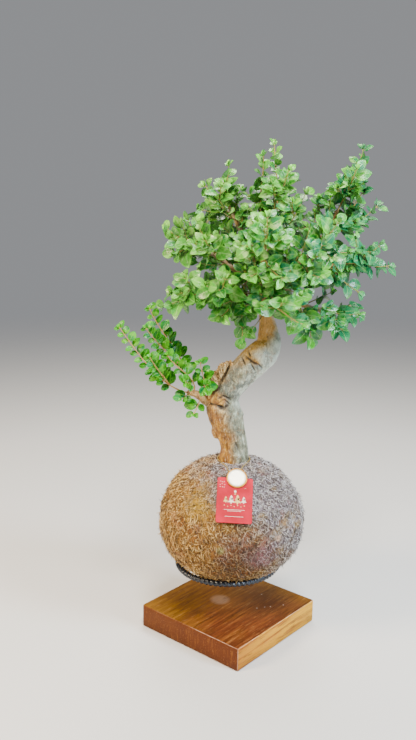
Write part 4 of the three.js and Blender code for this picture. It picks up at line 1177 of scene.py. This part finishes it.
def build_card(material):
    """A thin card with round corners and a hole."""
    shape = Shape()
    half, tall = CARD_WIDTH / 2 - CARD_CORNER, CARD_HEIGHT / 2 - CARD_CORNER
    outline = []
    for turn, (x, y) in enumerate([(half, tall), (-half, tall), (-half, -tall), (half, -tall)]):
        for a in np.linspace(0, math.pi / 2, 6) + turn * math.pi / 2:
            outline.append([x + CARD_CORNER * math.cos(a), y + CARD_CORNER * math.sin(a)])
    outline = resampled(outline, 96, looped=True)
    angle = np.arctan2(outline[:, 1] - SHANK_Y, outline[:, 0] - MEDAL_X)
    hole = np.column_stack([np.cos(angle), np.sin(angle)]) * (SHANK_RADIUS + GAP) + [MEDAL_X, SHANK_Y]
    rings = [hole + (outline - hole) * s for s in (0, 0.02, 0.06, 0.12, 0.2, 0.3, 0.45, 0.6, 0.8, 0.97, 1)]
    flat, thick = np.concatenate(rings), CARD_THICK / 2
    faces = grid_faces(len(rings), len(outline))
    shape.add(flat_on_tag(flat, thick), faces)
    shape.add(flat_on_tag(flat, -thick), faces[:, ::-1])
    for line in (hole, outline):
        edge = np.concatenate([flat_on_tag(line, -thick), flat_on_tag(line, thick)])
        shape.add(edge, grid_faces(2, len(line)))
    shape.piece("gift_card", material, ["tag_card"], "red_card")


def add_mark(shape, outline, x, y, size=1):
    """A flat printed mark just above the card, fanned from its middle."""
    ring = np.asarray(outline, float) * size + [x, y]
    middle = ring.mean(axis=0)
    points = np.vstack([ring, middle + (ring - middle) * 0.01])
    shape.add(flat_on_tag(points, CARD_THICK / 2 + PRINT_RISE), grid_faces(2, len(ring)))


def star(points, inner):
    turns = np.arange(2 * points) * math.pi / points + math.pi / 2
    reach = np.where(np.arange(2 * points) % 2, inner, 1)
    return np.column_stack([np.cos(turns) * reach, np.sin(turns) * reach])


def bar(width, height):
    return np.array([[-width, -height], [width, -height], [width, height], [-width, height]]) / 2


def fir_tree():
    half = [(0.0, 1.0), (0.34, 0.5), (0.16, 0.5), (0.52, 0.02), (0.26, 0.02), (0.72, -0.6), (0.12, -0.6),
            (0.12, -0.9)]
    return np.array(half + [(-x, y) for x, y in half[:0:-1]])


def build_print(cream, gold):
    """A plain seasonal design: sprigs in a corner, a star, a row of fir trees, small stars and rules."""
    pale, bright = Shape(), Shape()
    random = np.random.default_rng(5)
    for k in range(9):
        x = -18 + 2.6 * (k % 3) + random.uniform(-0.5, 0.5)
        y = 23 - 3.6 * (k // 3) + random.uniform(-0.6, 0.6)
        add_mark(pale, star(3, 0.25), x, y, 0.9)
    add_mark(pale, star(6, 0.5), 0.5, 11, 2.1)
    add_mark(bright, bar(2.2, 1.1), 0.5, 7.8)
    for k, (x, size) in enumerate([(-10.5, 4.2), (-4, 5.6), (3.6, 6.4), (11, 4.6)]):
        add_mark(pale if k % 2 else bright, fir_tree(), x, -0.6 + 0.2 * size, size)
    for k in range(7):
        add_mark(bright, star(5, 0.45), -12 + 4 * k, -7.4 + 0.7 * (-1) ** k, 0.9)
    for y, width in ((-12.2, 25), (-13.8, 17), (-20.6, 22)):
        add_mark(pale, bar(width, 0.35), 0, y)
    pale.piece("card_print_cream", cream, [], "red_card")
    bright.piece("card_print_gold", gold, [], "red_card")


def spun(shape, profile, y, sides, rim=1e9):
    """A turned form on the tag's normal; its tint is 1 from the rim's radius outwards."""
    turn = circle(sides)
    rows = [flat_on_tag(np.column_stack([MEDAL_X + r * np.cos(turn), y + r * np.sin(turn)]), z)
            for r, z in profile]
    tints = np.repeat([float(r > rim) for r, z in profile], sides)
    shape.add(np.concatenate(rows), grid_faces(len(profile), sides), None, tints)


# Rim of the medal: how far in from its radius, and how far above its back
MEDAL_RIM = [(0.5, -0.2), (0.1, 0.2), (0, 0.6), (0, 1.2), (0.3, 1.7), (0.9, 1.8), (1.5, 1.5), (1.9, 1.3)]


def build_medal(material):
    """A round medal with a raised rim, and its shank behind it."""
    shape = Shape()
    back = CARD_THICK / 2 + GAP
    profile = [(0.01, back - 0.2), *[(MEDAL_RADIUS - inset, back + rise) for inset, rise in MEDAL_RIM]]
    profile += [(MEDAL_RADIUS * 0.6, back + 1.45), (MEDAL_RADIUS * 0.3, back + 1.55), (0.01, back + 1.6)]
    spun(shape, profile, MEDAL_Y, 72, MEDAL_RADIUS - 1.7)
    spun(shape, [(0.01, back - 3.6), (SHANK_RADIUS, back - 3.6), (SHANK_RADIUS, back)], SHANK_Y, 24)
    shape.piece("bright_medal", material, ["tag_medal"], "gold_metal")


def cord_points():
    """From one side of the shank, round the trunk's foot on the ball, to the shank's other side."""
    behind = -CARD_THICK / 2 - GAP - CORD_RADIUS - 0.4
    beside = SHANK_RADIUS + GAP
    ends = [on_tag([MEDAL_X + aside, SHANK_Y + rise, behind])
            for aside, rise in ((-beside, 0), (-beside - 1.5, 1), (beside + 1.5, 1), (beside, 0))]
    loop = []
    for x, y in CORD_LOOP:
        spread = math.hypot(x - BALL[0], y) / BALL_RADIUS
        loop.append([x, y, BALL[2] + BALL_UP * math.sqrt(1 - spread ** 2) + CORD_RADIUS + GAP])
    return [*ends[:2], *loop, *ends[2:]]


def build_cord(material):
    shape = Shape()
    centres = sampled(catmull(cord_points()), np.linspace(0, 1, 420))

    def strands(i, angles):
        return 0.16 * np.cos(3 * (angles + 0.55 * i)) - 0.1

    tube(shape, centres, CORD_RADIUS, 15, relief=strands)
    shape.piece("gold_thread", material, ["tag_cord"], "gold_cord")


# Camera, as fitted to the photograph in pixels, degrees and metres of the plant's frame
FOCAL_PIXELS, PICTURE_HEIGHT_PIXELS, SENSOR_MM = 819, 740, 36
CAMERA_PITCH, CAMERA_ROLL = math.radians(12.6), math.radians(0.56)
CAMERA_PLACE = (-0.0306, -0.9972, 0.5701)
FLOOR_REACH, FLOOR_FADE_FROM, FLOOR_FADE_TO = 3.0, 0.9, 2.8


def build_camera():
    data = bpy.data.cameras.new("view")
    data.sensor_width = SENSOR_MM
    data.lens = SENSOR_MM * FOCAL_PIXELS / PICTURE_HEIGHT_PIXELS
    data.clip_start, data.clip_end = 0.05, 30
    camera = in_scene("view", data)
    ahead = Vector((0, math.cos(CAMERA_PITCH), -math.sin(CAMERA_PITCH)))
    right = Vector((1, 0, 0))
    up = right.cross(ahead)
    c, s = math.cos(CAMERA_ROLL), math.sin(CAMERA_ROLL)
    axes = Matrix((right * c + up * s, up * c - right * s, -ahead)).transposed().to_4x4()
    place = Matrix.Translation(Vector(CAMERA_PLACE))
    camera.matrix_world = Matrix.Rotation(PLANT_TURN, 4, "Z") @ place @ axes
    bpy.context.scene.camera = camera


def build_stage():
    """A pale floor that fades into the plain pale backdrop."""
    look = Look("pale_floor", 0.8, Base_Color=colour("D6D3CE"))
    far_off = look.put("VectorMath", {0: look.put("TexCoord")["Object"]}, operation="LENGTH")["Value"]
    fade = look.level(far_off, FLOOR_FADE_FROM, FLOOR_FADE_TO)
    shown = look.put("MixShader", {0: fade, 1: look.surface.outputs[0], 2: look.put("BsdfTransparent")[0]})
    look.tree.links.new(shown[0], look.tree.nodes["Material Output"].inputs["Surface"])
    mesh = bpy.data.meshes.new("floor")
    corners = [(x * FLOOR_REACH, y * FLOOR_REACH, 0) for x, y in ((-1, -1), (1, -1), (1, 1), (-1, 1))]
    mesh.from_pydata(corners, [], [(0, 1, 2, 3)])
    mesh.materials.append(look.material)
    in_scene("floor", mesh)
    world = bpy.data.worlds.new("studio")
    world.use_nodes = True
    back = world.node_tree.nodes["Background"]
    back.inputs["Color"].default_value = (0.84, 0.86, 0.9, 1)
    back.inputs["Strength"].default_value = 0.34
    bpy.context.scene.world = world


# Soft lights in metres and watts: name, place in the plant's frame, size, power and colour
LIGHTS = [
    ("overhead", (0.1, -0.8, 1.65), 0.45, 37, (1, 0.98, 0.94)),
    ("warm_left", (-1.2, -0.6, 0.95), 0.5, 37, (1, 0.78, 0.5)),
    ("cool_right", (1.2, -0.75, 0.9), 0.5, 44, (0.72, 0.87, 1)),
    ("back_top", (0.0, 0.7, 1.7), 0.7, 22, (1, 0.97, 0.92)),
]
LIGHT_TARGET = Vector((0, 0, 0.32))


def build_lights():
    """Soft boxes left, right and behind, and one overhead that the medal mirrors towards the camera."""
    for name, place, size, power, shade in LIGHTS:
        data = bpy.data.lights.new(name, "AREA")
        data.shape = "DISK"
        data.size, data.energy, data.color = size, power, shade
        lamp = in_scene(name, data)
        lamp.location = Vector(turned(place, PLANT_TURN))
        lamp.rotation_euler = (LIGHT_TARGET - lamp.location).to_track_quat("-Z", "Y").to_euler()


build_camera()
build_stage()
build_lights()

build_block(wood_material())
build_ring(iron_material())
build_ball(coir_material("coir_felt", False))
STRAND_LOOK = coir_material("coir_strand", True)
for number, values in enumerate(STRANDS):
    fibre_strands(*values).piece(f"coir_strands_{number + 1}", STRAND_LOOK, ["fibre_wrap"], "coir_fibre")
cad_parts["soil_core"].data.materials.clear()
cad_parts["soil_core"].data.materials.append(soil_material())
build_trunk(bark_material())
build_card(card_material())
build_print(ink_material("cream_ink", "F4E6D2"), ink_material("gold_ink", "E2C27A"))
build_medal(metal_material("polished_medal", "E4DED0", "CFC6B0", 0.42, "C08A30"))
build_cord(metal_material("gold_cord", "FFE69C", "D4B052", 0.4, "FFE69C"))

LEAF_LOOKS = {
    CROWN: leaf_material("canopy_leaf", "0A4410", "167E10", "78CC3C", "A0D076", 0.46, 0.3, 0.6),
    LOW: leaf_material("low_leaf", "05340A", "085C05", "46A40C", "70BE24", 0.22, 0.0, 0.0),
}
TWIG_LOOK = twig_material()
for number, spray in enumerate(SPRAYS):
    build_spray(number, spray)
for number, limb in enumerate(LIMBS):
    build_limb_foliage(number, limb)
